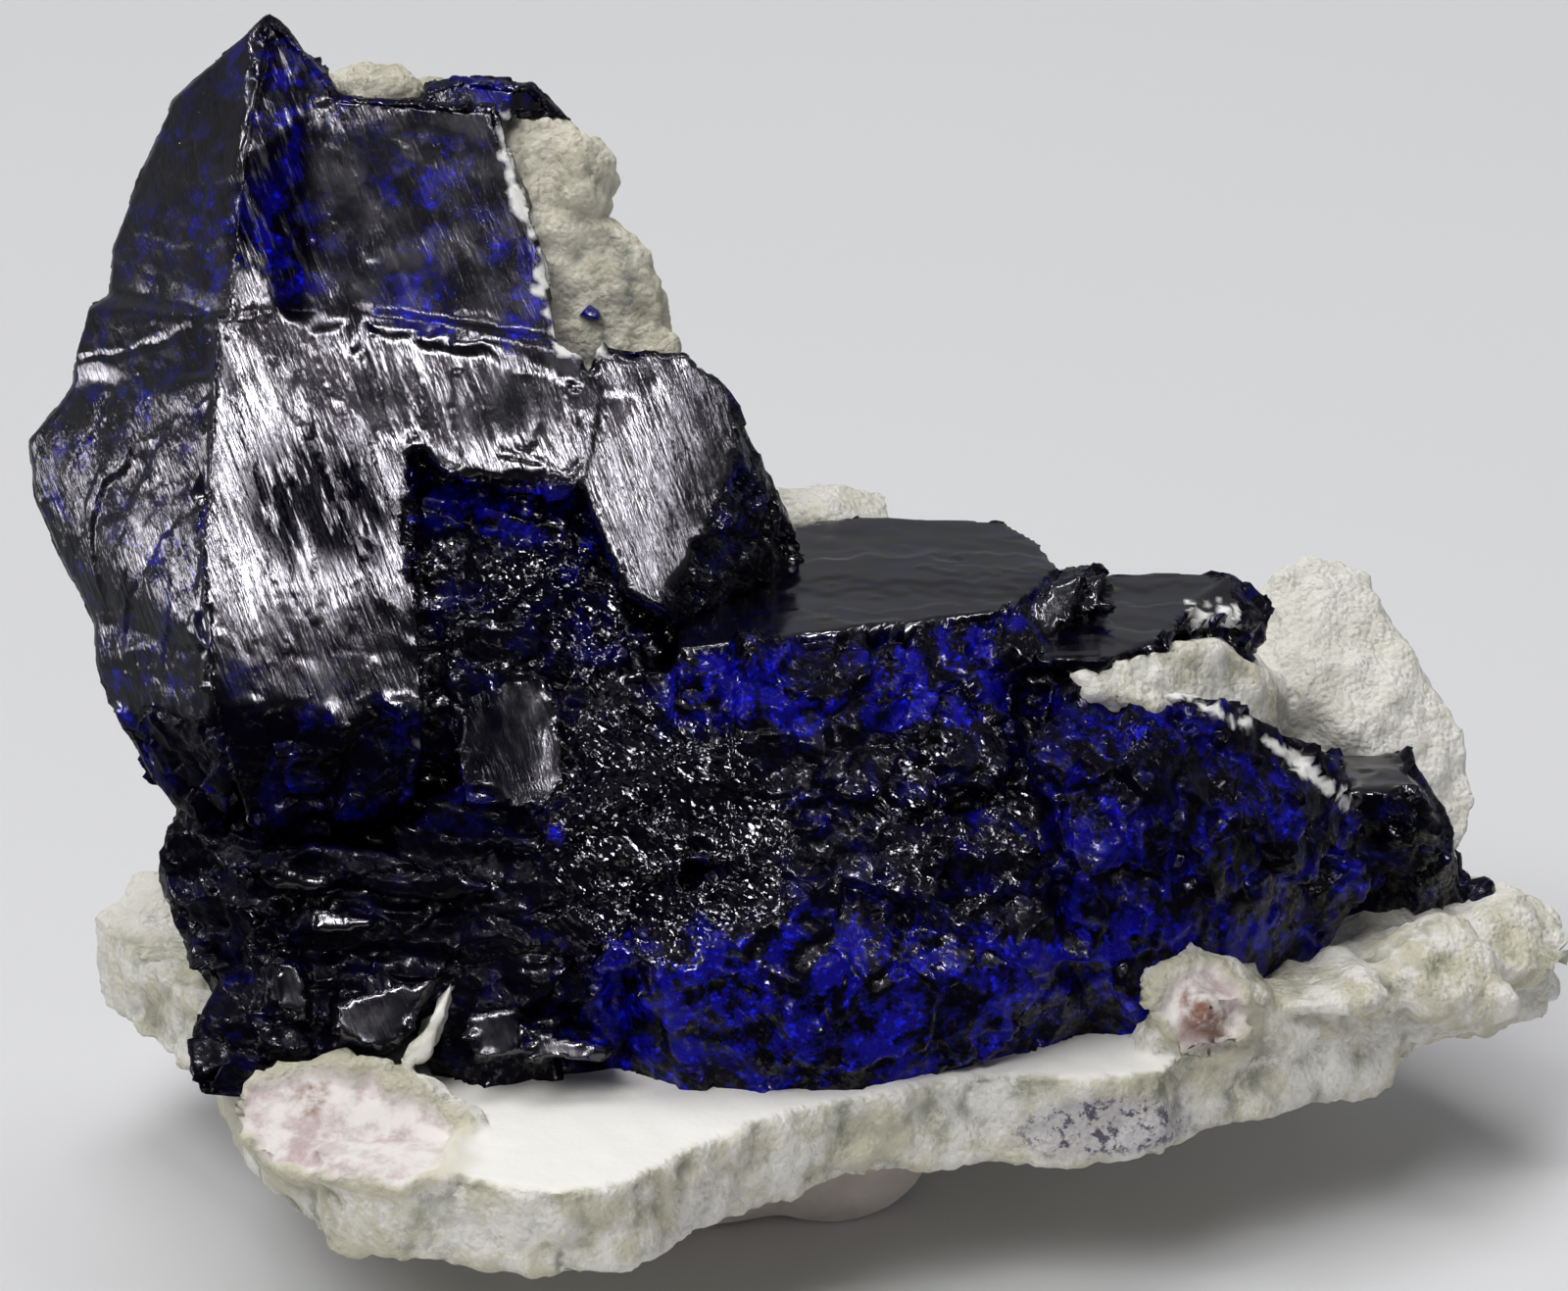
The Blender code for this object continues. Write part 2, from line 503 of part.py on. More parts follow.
def prism(name, outline, bottom, top, collection):
    """A slab with this outline seen from above, given as (x, y)."""
    bm = bmesh.new()
    floor = bm.faces.new([bm.verts.new((x, y, bottom)) for x, y in outline])
    raised = bmesh.ops.extrude_face_region(bm, geom=[floor])
    lifted = [v for v in raised["geom"] if isinstance(v, bmesh.types.BMVert)]
    bmesh.ops.translate(bm, verts=lifted, vec=(0, 0, top - bottom))
    bmesh.ops.recalc_face_normals(bm, faces=bm.faces)
    bmesh.ops.triangulate(bm, faces=bm.faces)
    return add_mesh_object(name, bm, collection)


def union_of(blocks, name, collection):
    """Joins a collection's blocks into one solid, and removes them."""
    pieces = list(blocks.objects)
    first = pieces[0]
    blocks.objects.unlink(first)
    collection.objects.link(first)
    first.name = name
    boolean(first, "UNION", collection=blocks)
    for block in list(blocks.objects):
        bpy.data.objects.remove(block)
    keep_largest_body(first)
    return first


def azurite(collection):
    """All the azurite, grown together into one solid."""
    blocks = new_collection("azurite blocks", hidden=True)
    rear_crystals(blocks)
    upright_crystal(blocks)
    broken_middle(blocks)
    lower_left_crystals(blocks)
    low_mass(blocks)
    valley(blocks)
    wedge_crystal(blocks)
    crystals = union_of(blocks, "azurite_crystals", collection)
    remesh(crystals, AZURITE_VOXEL)
    roughen(crystals, AZURITE_RELIEF, azurite_roughness)
    simplify(crystals, AZURITE_TRIANGLES)
    keep_largest_body(crystals)
    crystals.data.materials.clear()
    crystals.data.materials.append(material("azurite", AZURITE_COLOUR, 0.25))
    return crystals


def azurite_roughness(place, normal):
    """How much of the relief a place takes: little on the flat crystal faces, all of it on the broken walls."""
    flat_top = normal.z > LEVEL and place.z > SHELF_TOP - 1
    upright_front = place.x < UPRIGHT_RIGHT and place.z > UPRIGHT_FOOT and normal.y < -FACING_FRONT
    return FLAT_FACE_SHARE if flat_top or upright_front else 1.0


def matrix_roughness(place, normal):
    """The slab's top in front of the crystals is smoother than its broken edge."""
    in_front = place.x < SMOOTH_TOP_RIGHT and place.y < SMOOTH_TOP_BACK and place.z < SLAB_TOP + 1
    return SMOOTH_TOP_SHARE if in_front and normal.z > NEARLY_LEVEL else 1.0


def matrix_slab(collection, cutter):
    """The slab of matrix, thick at its right, with its nodules and the lump that rises at the back."""
    blocks = new_collection("matrix blocks", hidden=True)
    prism("slab", SLAB_OUTLINE, SLAB_BOTTOM, SLAB_TOP, blocks)
    prism("thick_end", THICK_OUTLINE, SLAB_BOTTOM + 0.7, THICK_TOP, blocks)
    for name, centre, radii in SLAB_LUMPS:
        lump(name, centre, radii, blocks)
    left_nodule(blocks)
    rear_lumps(blocks)
    hull("back_lump", [seen(*corner) for corner in [
        (26.6, 3.0, 24), (28.0, 4.6, 25), (29.6, 5.2, 26), (31.6, 3.8, 26), (32.2, -1.0, 24), (35.0, -1.6, 24),
        (36.6, -4.0, 24), (37.8, -6.4, 23), (38.2, -9.0, 22), (37.3, -11.8, 20), (29.0, -2.0, 19),
        (28.5, 4.0, 32), (32.0, 3.0, 33), (37.0, -8.0, 30), (22.0, 0.0, 30), (22.0, -14.0, 24),
    ]] + [Vector((24, 26, SLAB_TOP - 2)), Vector((38, 24, SLAB_TOP - 2)), Vector((30, 31, SLAB_TOP - 2))], blocks)
    hull("saddle", [seen(*corner) for corner in [
        (15.5, -1.4, -0.2), (18.4, -0.6, 1.0), (21.6, 0.2, 3.0), (23.8, 0.2, 5), (25.9, -1.2, 7.5),
        (26.3, -3.9, 7.5), (20.0, -3.4, 0.4), (16.6, -2.4, 0.0), (27.5, -3.0, 15), (25.6, -1.0, 15),
        (16.0, -8.0, 14), (27.0, -10.0, 18), (24.0, 0.0, 26), (28.0, -2.0, 26),
    ]], blocks)
    hull("rear_wall", [Vector(corner) for corner in [
        (-12, 20, SLAB_TOP - 2), (24, 18, SLAB_TOP - 2), (24, 29, SLAB_TOP - 2), (-10, 29, SLAB_TOP - 2),
        (-9, 21, 26), (-3, 20, 33), (7, 20, 34.5), (14, 21, 31), (24, 21, 28.5), (18, 26, 23), (0, 26.5, 27),
        (5, 23.5, 33),
    ]], blocks)
    for number, (centre, radii) in enumerate(FAR_KNOBS):
        lump(f"far_knob_{number}", seen(*centre), radii, blocks)
    slab = union_of(blocks, "matrix_slab", collection)
    remesh(slab, MATRIX_VOXEL)
    roughen(slab, MATRIX_RELIEF, matrix_roughness)
    simplify(slab, SLAB_TRIANGLES)
    boolean(slab, "DIFFERENCE", cutter)
    keep_largest_body(slab)
    slab.data.materials.clear()
    slab.data.materials.append(material("matrix", MATRIX_COLOUR, 0.9))
    return slab


def left_nodule(blocks):
    """The bulge at the front left, broken open in an oval that leans back."""
    middle_right, middle_up, middle_back = NODULE_FACE
    ring = []
    for corner in range(NODULE_CORNERS):
        angle = 2 * math.pi * corner / NODULE_CORNERS
        across = NODULE_HALF_WIDTH * math.cos(angle)
        rise = NODULE_HALF_HEIGHT * math.sin(angle) + NODULE_SKEW * across
        ring.append((middle_right + across, middle_up + rise, middle_back + NODULE_LEAN * rise))
    face = [seen(*corner) for corner in ring]
    bulge = [seen(right, up, back + NODULE_BULGE) - Vector((0, 0, NODULE_SAG)) for right, up, back in ring]
    foot = [(place.x, place.y + NODULE_FOOT_BACK, SLAB_BOTTOM + NODULE_FOOT_HEIGHT) for place in face]
    hull("left_nodule", face + bulge + foot, blocks)


def rear_lumps(blocks):
    """Uneven lumps over the back of the slab, where it was broken from the rock."""
    random = Random(REAR_SEED)
    for number in range(REAR_LUMPS):
        share = number / (REAR_LUMPS - 1)
        x = REAR_LEFT + REAR_WIDTH * share + random.uniform(-2, 2)
        y = REAR_BACK - REAR_END_CURVE * (2 * share - 1) ** 4 + random.uniform(-2.5, 1.5)
        rise = REAR_RISE * math.sin(math.pi * min(1.0, 0.15 + share)) ** 2
        z = random.uniform(SLAB_TOP - 2, SLAB_TOP + rise)
        radii = [random.uniform(*REAR_RADII) for _ in range(3)]
        lump(f"rear_lump_{number}", (x, y, z), radii, blocks, random.uniform(0, math.pi))


def crust_back_lumps(blocks):
    """Uneven lumps over the back of the upper crust."""
    random = Random(CRUST_SEED)
    for number in range(CRUST_BACK_LUMPS):
        angle = number * GOLDEN_ANGLE
        reach = math.sqrt((number + 0.5) / CRUST_BACK_LUMPS)
        right = CRUST_BACK_MIDDLE[0] + CRUST_BACK_REACH[0] * reach * math.cos(angle)
        up = CRUST_BACK_MIDDLE[1] + CRUST_BACK_REACH[1] * reach * math.sin(angle)
        back = CRUST_BACK_DEPTH - CRUST_BACK_CURVE * reach
        radii = [random.uniform(*limits) for limits in (CRUST_BACK_WIDE, CRUST_BACK_DEEP, CRUST_BACK_WIDE)]
        lump(f"crust_back_lump_{number}", seen(right, up, back), radii, blocks)


def upper_crust(collection, cutter):
    """The crust of matrix on the back of the upright crystal, which shows past its right and top edges."""
    blocks = new_collection("crust blocks", hidden=True)
    for name, outline, thickness in CRUST_PATCHES:
        plate(name, outline, thickness, blocks)
    for name, centre, radii in CRUST_LUMPS:
        lump(name, seen(*centre), radii, blocks)
    crust_back_lumps(blocks)
    crust = union_of(blocks, "upper_crust", collection)
    remesh(crust, CRUST_VOXEL)
    roughen(crust, CRUST_RELIEF)
    simplify(crust, CRUST_TRIANGLES)
    boolean(crust, "DIFFERENCE", cutter)
    keep_largest_body(crust)
    crust.data.materials.clear()
    crust.data.materials.append(material("crust", CRUST_COLOUR, 0.9))
    return crust


def putty_pad(collection, cutter):
    """The pad of putty that holds the slab up: a rounded cake with a flat underside."""
    pad = lump("putty_pad", (*PAD_CENTRE, PAD_MIDDLE_HEIGHT), PAD_HALF_SIZE, collection)
    boolean(pad, "DIFFERENCE", cutter)
    keep_largest_body(pad)
    bm = bmesh.new()
    bm.from_mesh(pad.data)
    bmesh.ops.bisect_plane(bm, geom=bm.verts[:] + bm.edges[:] + bm.faces[:], plane_co=(0, 0, 0),
                           plane_no=(0, 0, 1), clear_inner=True)
    bmesh.ops.holes_fill(bm, edges=[edge for edge in bm.edges if edge.is_boundary])
    bmesh.ops.triangulate(bm, faces=bm.faces)
    bmesh.ops.recalc_face_normals(bm, faces=bm.faces)
    bm.to_mesh(pad.data)
    bm.free()
    pad.data.materials.clear()
    pad.data.materials.append(material("putty", PUTTY_COLOUR, 0.6))
    return pad


def finish(objects):
    """Moves the origin to the middle of the pad's underside, and scales the solids to metres."""
    move = Matrix.Translation((-PAD_CENTRE[0], -PAD_CENTRE[1], 0))
    for obj in objects:
        obj.data.transform(Matrix.Scale(MM, 4) @ move)


def main():
    clear_scene()
    specimen = new_collection("azurite specimen")
    cutters = new_collection("cutters", hidden=True)
    crystals = azurite(specimen)
    crystal_bed = inflated(crystals, "crystal_bed", BED_CLEARANCE, BED_VOXEL, BED_TRIANGLES, cutters)
    slab = matrix_slab(specimen, crystal_bed)
    crust = upper_crust(specimen, crystal_bed)
    slab_bed = inflated(slab, "slab_bed", BED_CLEARANCE, BED_VOXEL, BED_TRIANGLES, cutters)
    pad = putty_pad(specimen, slab_bed)
    finish([crystals, slab, crust, pad])
    for cutter in (crystal_bed, slab_bed):
        bpy.data.objects.remove(cutter)


main()
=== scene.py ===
"""Azurite specimen: the finish of every surface, a pale floor, soft studio light and the camera.

Shapes are worked in millimetres in the CAD model's frame and scaled to metres at the end.
"""

import math
from random import Random

import bmesh
import bpy
import numpy as np
from mathutils import Matrix, Vector, noise


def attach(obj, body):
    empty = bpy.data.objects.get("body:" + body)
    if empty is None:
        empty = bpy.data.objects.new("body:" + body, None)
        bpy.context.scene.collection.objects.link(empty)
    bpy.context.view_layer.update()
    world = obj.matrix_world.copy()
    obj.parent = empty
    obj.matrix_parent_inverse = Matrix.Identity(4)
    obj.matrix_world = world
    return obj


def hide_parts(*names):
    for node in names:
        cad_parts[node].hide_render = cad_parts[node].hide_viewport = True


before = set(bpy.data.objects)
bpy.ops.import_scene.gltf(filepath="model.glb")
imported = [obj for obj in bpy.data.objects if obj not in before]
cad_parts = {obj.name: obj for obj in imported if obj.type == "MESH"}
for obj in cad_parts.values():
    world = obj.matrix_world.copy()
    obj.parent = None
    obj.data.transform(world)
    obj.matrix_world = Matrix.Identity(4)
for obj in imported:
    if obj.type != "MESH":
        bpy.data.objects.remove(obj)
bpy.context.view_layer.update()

MM = 0.001

# The front view, in which most places are measured
VIEW_TILT = math.radians(20)
VIEW_DISTANCE = 320
PICTURE_CENTRE = Vector((5.5, -10, 35.9))
PICTURE_WIDTH = 86.5
SENSOR_WIDTH = 36

# Where the specimen's own measuring frame lies in the CAD model's frame
SPECIMEN_SHIFT = Vector((5.5, -10, 0))

SLAB_TOP = 14.0
SLAB_BOTTOM = 8.8
LOW_TOP = 37.3
SHELF_TOP = 35.0
WEDGE_TOP = 24.0

# The putty pad, seen from above, and how high its widest part lies
PAD_CENTRE = (-5.5, 10)
PAD_HALF_SIZE = (14.5, 11.5, 6.5)
PAD_MIDDLE_HEIGHT = 4.2
PAD_BULGE = (2.4, 5.6, 4.0)
PAD_BULGE_HALF_SIZE = (6.2, 6.6, 5.2)
# The slab's outline and its thick right end, seen from above
SLAB_OUTLINE = [
    (-40.5, 14), (-37.5, 8), (-33, 2), (-31, -5), (-28, -13), (-24.5, -20), (-20, -22), (-16, -22.5),
    (-12, -24), (-8, -22.5), (-5, -18.5), (-1, -14.5), (3, -12.5), (7, -10.5), (11, -9), (15, -9.2),
    (21, -8.8), (22.5, -6), (27, -4), (31, -1.5), (34.5, 1), (37, 7), (41, 8.5), (44.5, 11), (45.5, 13.5),
    (42, 19), (38, 24), (33, 29), (25, 32), (15, 31.5), (6, 33), (-4, 31), (-13, 28.5), (-22, 27),
    (-30, 24), (-37, 20),
]
THICK_OUTLINE = [
    (20, -6.5), (22, -5.5), (27, -3.5), (34, 1.5), (38, 8), (43, 11.5), (40, 20), (34, 27), (24, 29),
    (16, 20),
]
THICK_TOP = 15.2
# Lumps on the slab's rim. Centre, radii
SLAB_LUMPS = [
    ((23.2, -2.4, 15.4), (4.0, 4.6, 3.4)),
    ((30, 1.0, 14.6), (4.5, 4.5, 3.0)),
    ((36.5, 5.5, 13.4), (4.6, 5.0, 3.4)),
    ((41, 11.5, 13.0), (4.4, 5.0, 3.2)),
    ((-36, 15, 11.8), (4.0, 5.0, 3.2)),
]
# Knobs on the far rim, seen past the low mass. Centre as (right, up, back), radii
FAR_KNOBS = [
    ((2.4, 6.0, 20.0), (4.4, 3.2, 3.2)),
    ((-2.6, 4.0, 20.0), (4.6, 3.0, 3.0)),
    ((8.5, 4.3, 19.6), (5.0, 3.2, 3.0)),
]
# The broken knob at the front right. Its front face's corners as (right, up, back)
RIGHT_NODULE = [
    (19.7, -17.6, 2.0), (21.9, -16.3, 3.0), (24.2, -16.9, 3.2), (26.0, -18.2, 3.0), (25.8, -21.6, 1.6),
    (22.0, -22.4, 0.8), (20.5, -20.4, 1.0),
]
# The matrix that shows in the gap between the small crystals
GAP_WEDGE = [
    (-18.0, -18.0, -5.1), (-18.9, -19.4, -5.3), (-19.8, -21.0, -5.4), (-21.0, -22.8, -5.2),
    (-19.6, -22.9, -5.2), (-18.9, -21.0, -5.4), (-18.2, -19.2, -5.2),
]
# The left nodule's broken oval face: its middle as (right, up, back), its half sizes and how it leans
NODULE_FACE = (-23.3, -26.3, -7.5)
NODULE_HALF_WIDTH = 7.0
NODULE_HALF_HEIGHT = 3.7
NODULE_LEAN = 0.76
NODULE_SKEW = -0.12
NODULE_CORNERS = 14
NODULE_BULGE = 3
NODULE_SAG = 2.5
NODULE_FOOT_BACK = 2
NODULE_FOOT_HEIGHT = 1.5
# The lumps over the slab's broken back: how far left and how wide the row is, where it lies, how it curves
# forward at its ends, how much its middle rises, and the lumps' radii
REAR_LUMPS = 26
REAR_SEED = 11
REAR_LEFT = -30
REAR_WIDTH = 66
REAR_BACK = 27.5
REAR_END_CURVE = 9
REAR_RISE = 12
REAR_RADII = (2.6, 4.8)
# The upper crust's patches and lumps. Outline as (right, up, back), thickness
CRUST_PATCHES = [
    ([
        (-20, 30.2, 2), (-15, 29.4, 1.0), (-12, 28.6, 1.2), (-9.9, 26.6, 2), (-10.2, 23.2, 1.2),
        (-16, 21, 0.5),
    ], 6),
    ([
        (-16, 24, 0.8), (-10.0, 23.3, 0.6), (-7.8, 21.6, 1), (-7.0, 19, 1), (-6.0, 16.4, 0.5),
        (-9, 14.0, 0.5), (-15, 14, 1),
    ], 6),
    ([
        (-32, 25, 7), (-26, 30.5, 6), (-19, 31.0, 6), (-11, 26, 5.5), (-8, 17, 5.5), (-13, 9, 6.5),
        (-23, 5, 7.5), (-33, 14, 8.5),
    ], 4.5),
    ([
        (-30, 14, 7), (-18, 12, 6.5), (-20, 0, 7.5), (-24, -4, 8), (-29, 3, 8),
    ], 4.5),
]
# The lumps over the crust's back: their middle and reach as (right, up), how far back, and their radii
CRUST_BACK_LUMPS = 22
CRUST_SEED = 5
CRUST_BACK_MIDDLE = (-20.5, 18)
CRUST_BACK_REACH = (9.5, 11)
CRUST_BACK_DEPTH = 10.2
CRUST_BACK_CURVE = 1.5
CRUST_BACK_WIDE = (1.8, 3.6)
CRUST_BACK_DEEP = (1.2, 2.4)
# Centre as (right, up, back), radii
CRUST_LUMPS = [
    ((-22.5, 30.6, 3.0), (2.6, 2.4, 1.4)),
    ((-11.2, 25.5, 2.5), (1.8, 2.6, 2.4)),
    ((-8.6, 19.5, 2.2), (1.8, 2.4, 2.6)),
]
CRUST_CRYSTAL = (-10.7, 18.2, 0.4)
CRUST_CRYSTAL_RADII = (0.6, 0.7, 0.5)
GOLDEN_ANGLE = math.radians(137.5)
CHUNK_CORNERS = 18
CHUNK_REACH = (0.95, 1.2)

# How finely each piece is worked
COARSER = 1.0
UPRIGHT_VOXEL = 0.23 * COARSER
LOW_VOXEL = 0.28 * COARSER
SLAB_VOXEL = 0.36 * COARSER
CRUST_VOXEL = 0.26 * COARSER
PAD_VOXEL = 0.5 * COARSER
# The most triangles that a piece may have, and how far a vertex must face away to be on its far side
TRIANGLE_LIMIT = 194000
REAR_FACING = -0.05

STREAK_ANGLE = -70
FLOOR_HALF_SIZE = 3.0
# The sky's strength in front and behind, and between which directions it changes
WORLD_FRONT = 0.03
WORLD_BACK = 0.25
WORLD_CHANGE = (-0.9, 0.6)
WORLD_COLOUR = (0.95, 0.97, 1.0, 1)
# Name, degrees right and up from the camera's direction, distance, size, radiance, kind of reflections.
# The sheens are where the crystal's faces mirror them to the camera
LIGHTS = [
    ("overhead", -14, 78, 2.0, (1.2, 1.2), 5.0, "matt"),
    ("front_fill", -24, 33, 2.0, (1.0, 1.0), 7.9, "matt"),
    ("sheen", 9, 8, 0.8, (0.22, 0.16), 54, "gloss"),
    ("sheen_right", 40, 7, 0.8, (0.15, 0.14), 22, "gloss"),
    ("sheen_left", -87, -1, 0.7, (0.15, 0.15), 15, "gloss"),
    ("right", 72, 34, 0.9, (0.12, 0.12), 12, "gloss"),
    ("glint_1", -35, 34, 0.9, (0.11, 0.11), 60, "gloss"),
    ("glint_2", 28, 50, 0.9, (0.11, 0.11), 60, "gloss"),
    ("glint_3", -62, 55, 0.9, (0.11, 0.11), 50, "gloss"),
]
GLOSS_TINT = (1.0, 0.96, 1.06)

TILT_SIN, TILT_COS = math.sin(VIEW_TILT), math.cos(VIEW_TILT)


def seen(right, up, back):
    """The place of a point seen `right` and `up` on the picture plane and lying `back` behind it."""
    spread = 1 + back / VIEW_DISTANCE
    return PICTURE_CENTRE + Vector((
        right * spread,
        up * spread * TILT_SIN + back * TILT_COS,
        up * spread * TILT_COS - back * TILT_SIN,
    ))


def seen_at_height(right, up, height):
    """The place of a point seen `right` and `up` on the picture plane and lying `height` above the floor."""
    back = (PICTURE_CENTRE.z + up * TILT_COS - height) / (TILT_SIN - up * TILT_COS / VIEW_DISTANCE)
    return seen(right, up, back)


def at(x, y, z):
    """A place given in the specimen's own measuring frame."""
    return Vector((x, y, z)) + SPECIMEN_SHIFT


def as_seen(points):
    """Each point's right, up and back in the front view."""
    local = points - np.array(PICTURE_CENTRE)
    back = local[:, 1] * TILT_COS - local[:, 2] * TILT_SIN
    spread = 1 + back / VIEW_DISTANCE
    up = (local[:, 1] * TILT_SIN + local[:, 2] * TILT_COS) / spread
    return local[:, 0] / spread, up, back


# Blocks

def new_object(name, bm):
    mesh = bpy.data.meshes.new(name)
    bm.to_mesh(mesh)
    bm.free()
    obj = bpy.data.objects.new(name, mesh)
    bpy.context.scene.collection.objects.link(obj)
    return obj


class Blocks:
    """Solids that will be fused into one piece."""

    def __init__(self):
        self.bm = bmesh.new()

    def take(self, bm):
        mesh = bpy.data.meshes.new("block")
        bm.to_mesh(mesh)
        bm.free()
        self.bm.from_mesh(mesh)
        bpy.data.meshes.remove(mesh)

    def hull(self, corners):
        """A crystal block: the convex solid with these corners."""
        bm = bmesh.new()
        for corner in corners:
            bm.verts.new(corner)
        made = bmesh.ops.convex_hull(bm, input=bm.verts)
        inside = [g for g in made["geom_interior"] + made["geom_unused"] if isinstance(g, bmesh.types.BMVert)]
        bmesh.ops.delete(bm, geom=list(set(inside)), context="VERTS")
        bmesh.ops.recalc_face_normals(bm, faces=bm.faces)
        self.take(bm)

    def seen_hull(self, corners, others=()):
        """A crystal block with corners given as (right, up, back), and others given as places."""
        self.hull([seen(*corner) for corner in corners] + list(others))

    def measured_hull(self, corners):
        """A crystal block with its corners given in the specimen's own measuring frame."""
        self.hull([at(*corner) for corner in corners])

    def plate(self, face, thickness):
        """A crystal plate: its front face's corners as (right, up, back), carried back by its thickness."""
        front = [seen(*corner) for corner in face]
        self.hull(front + [seen(right, up, back + thickness) for right, up, back in face])

    def lump(self, centre, radii):
        bm = bmesh.new()
        bmesh.ops.create_icosphere(bm, subdivisions=3, radius=1.0)
        shape = Matrix.Translation(centre) @ Matrix.Diagonal((*radii, 1))
        bmesh.ops.transform(bm, matrix=shape, verts=bm.verts)
        self.take(bm)

    def chunk(self, centre, radii, random):
        """A broken lump of rock with flat sides."""
        corners = []
        for _ in range(CHUNK_CORNERS):
            way = Vector([random.gauss(0, 1) for _ in range(3)]).normalized()
            reach = random.uniform(*CHUNK_REACH)
            corners.append(centre + Vector([w * r * reach for w, r in zip(way, radii)]))
        self.hull(corners)

    def facet(self, outline, back, lean_right, lean_up, thickness):
        """A crystal plate whose front face turns this many degrees right and up from the front view."""
        slope_right, slope_up = math.tan(math.radians(lean_right)), math.tan(math.radians(lean_up))
        middle_right = sum(right for right, _ in outline) / len(outline)
        middle_up = sum(up for _, up in outline) / len(outline)
        face = []
        for right, up in outline:
            depth = back + slope_right * (right - middle_right) + slope_up * (up - middle_up)
            face.append((right, up, depth))
        self.plate(face, thickness)

    def prism(self, outline, bottom, top):
        """A slab with this outline seen from above, given as (x, y)."""
        bm = bmesh.new()
        floor = bm.faces.new([bm.verts.new(at(x, y, bottom)) for x, y in outline])
        raised = bmesh.ops.extrude_face_region(bm, geom=[floor])
        lifted = [v for v in raised["geom"] if isinstance(v, bmesh.types.BMVert)]
        bmesh.ops.translate(bm, verts=lifted, vec=(0, 0, top - bottom))
        bmesh.ops.recalc_face_normals(bm, faces=bm.faces)
        bmesh.ops.triangulate(bm, faces=bm.faces)
        self.take(bm)

    def fused(self, name, voxel):
        obj = new_object(name, self.bm)
        modifier = obj.modifiers.new("Remesh", "REMESH")
        modifier.mode = "VOXEL"
        modifier.voxel_size = voxel
        bake(obj)
        keep_largest_body(obj)
        return obj


def bake(obj):
    """Puts the object's evaluated mesh in place of its mesh and modifiers."""
    depsgraph = bpy.context.evaluated_depsgraph_get()
    evaluated = obj.evaluated_get(depsgraph)
    mesh = bpy.data.meshes.new_from_object(evaluated, preserve_all_data_layers=True, depsgraph=depsgraph)
    obj.modifiers.clear()
    obj.data = mesh


def keep_largest_body(obj):
    bm = bmesh.new()
    bm.from_mesh(obj.data)
    bm.verts.ensure_lookup_table()
    left = set(bm.verts)
    bodies = []
    while left:
        body, edge = set(), [left.pop()]
        while edge:
            vertex = edge.pop()
            body.add(vertex)
            for link in vertex.link_edges:
                other = link.other_vert(vertex)
                if other in left:
                    left.discard(other)
                    edge.append(other)
        bodies.append(body)
    if len(bodies) > 1:
        largest = max(bodies, key=len)
        bmesh.ops.delete(bm, geom=[v for v in bm.verts if v not in largest], context="VERTS")
        bm.to_mesh(obj.data)
    bm.free()


def thin_out_rear(obj):
    """Takes triangles out of the far side until the piece has few enough, and leaves the front as it is."""
    triangles = 2 * len(obj.data.polygons)
    if triangles <= TRIANGLE_LIMIT:
        return
    rear = np.flatnonzero(Surface(obj).facing < REAR_FACING)
    group = obj.vertex_groups.new(name="rear")
    group.add(rear.tolist(), 1.0, "REPLACE")
    modifier = obj.modifiers.new("Decimate", "DECIMATE")
    modifier.ratio = TRIANGLE_LIMIT / triangles
    modifier.vertex_group = group.name
    bake(obj)
    obj.vertex_groups.clear()


# Relief

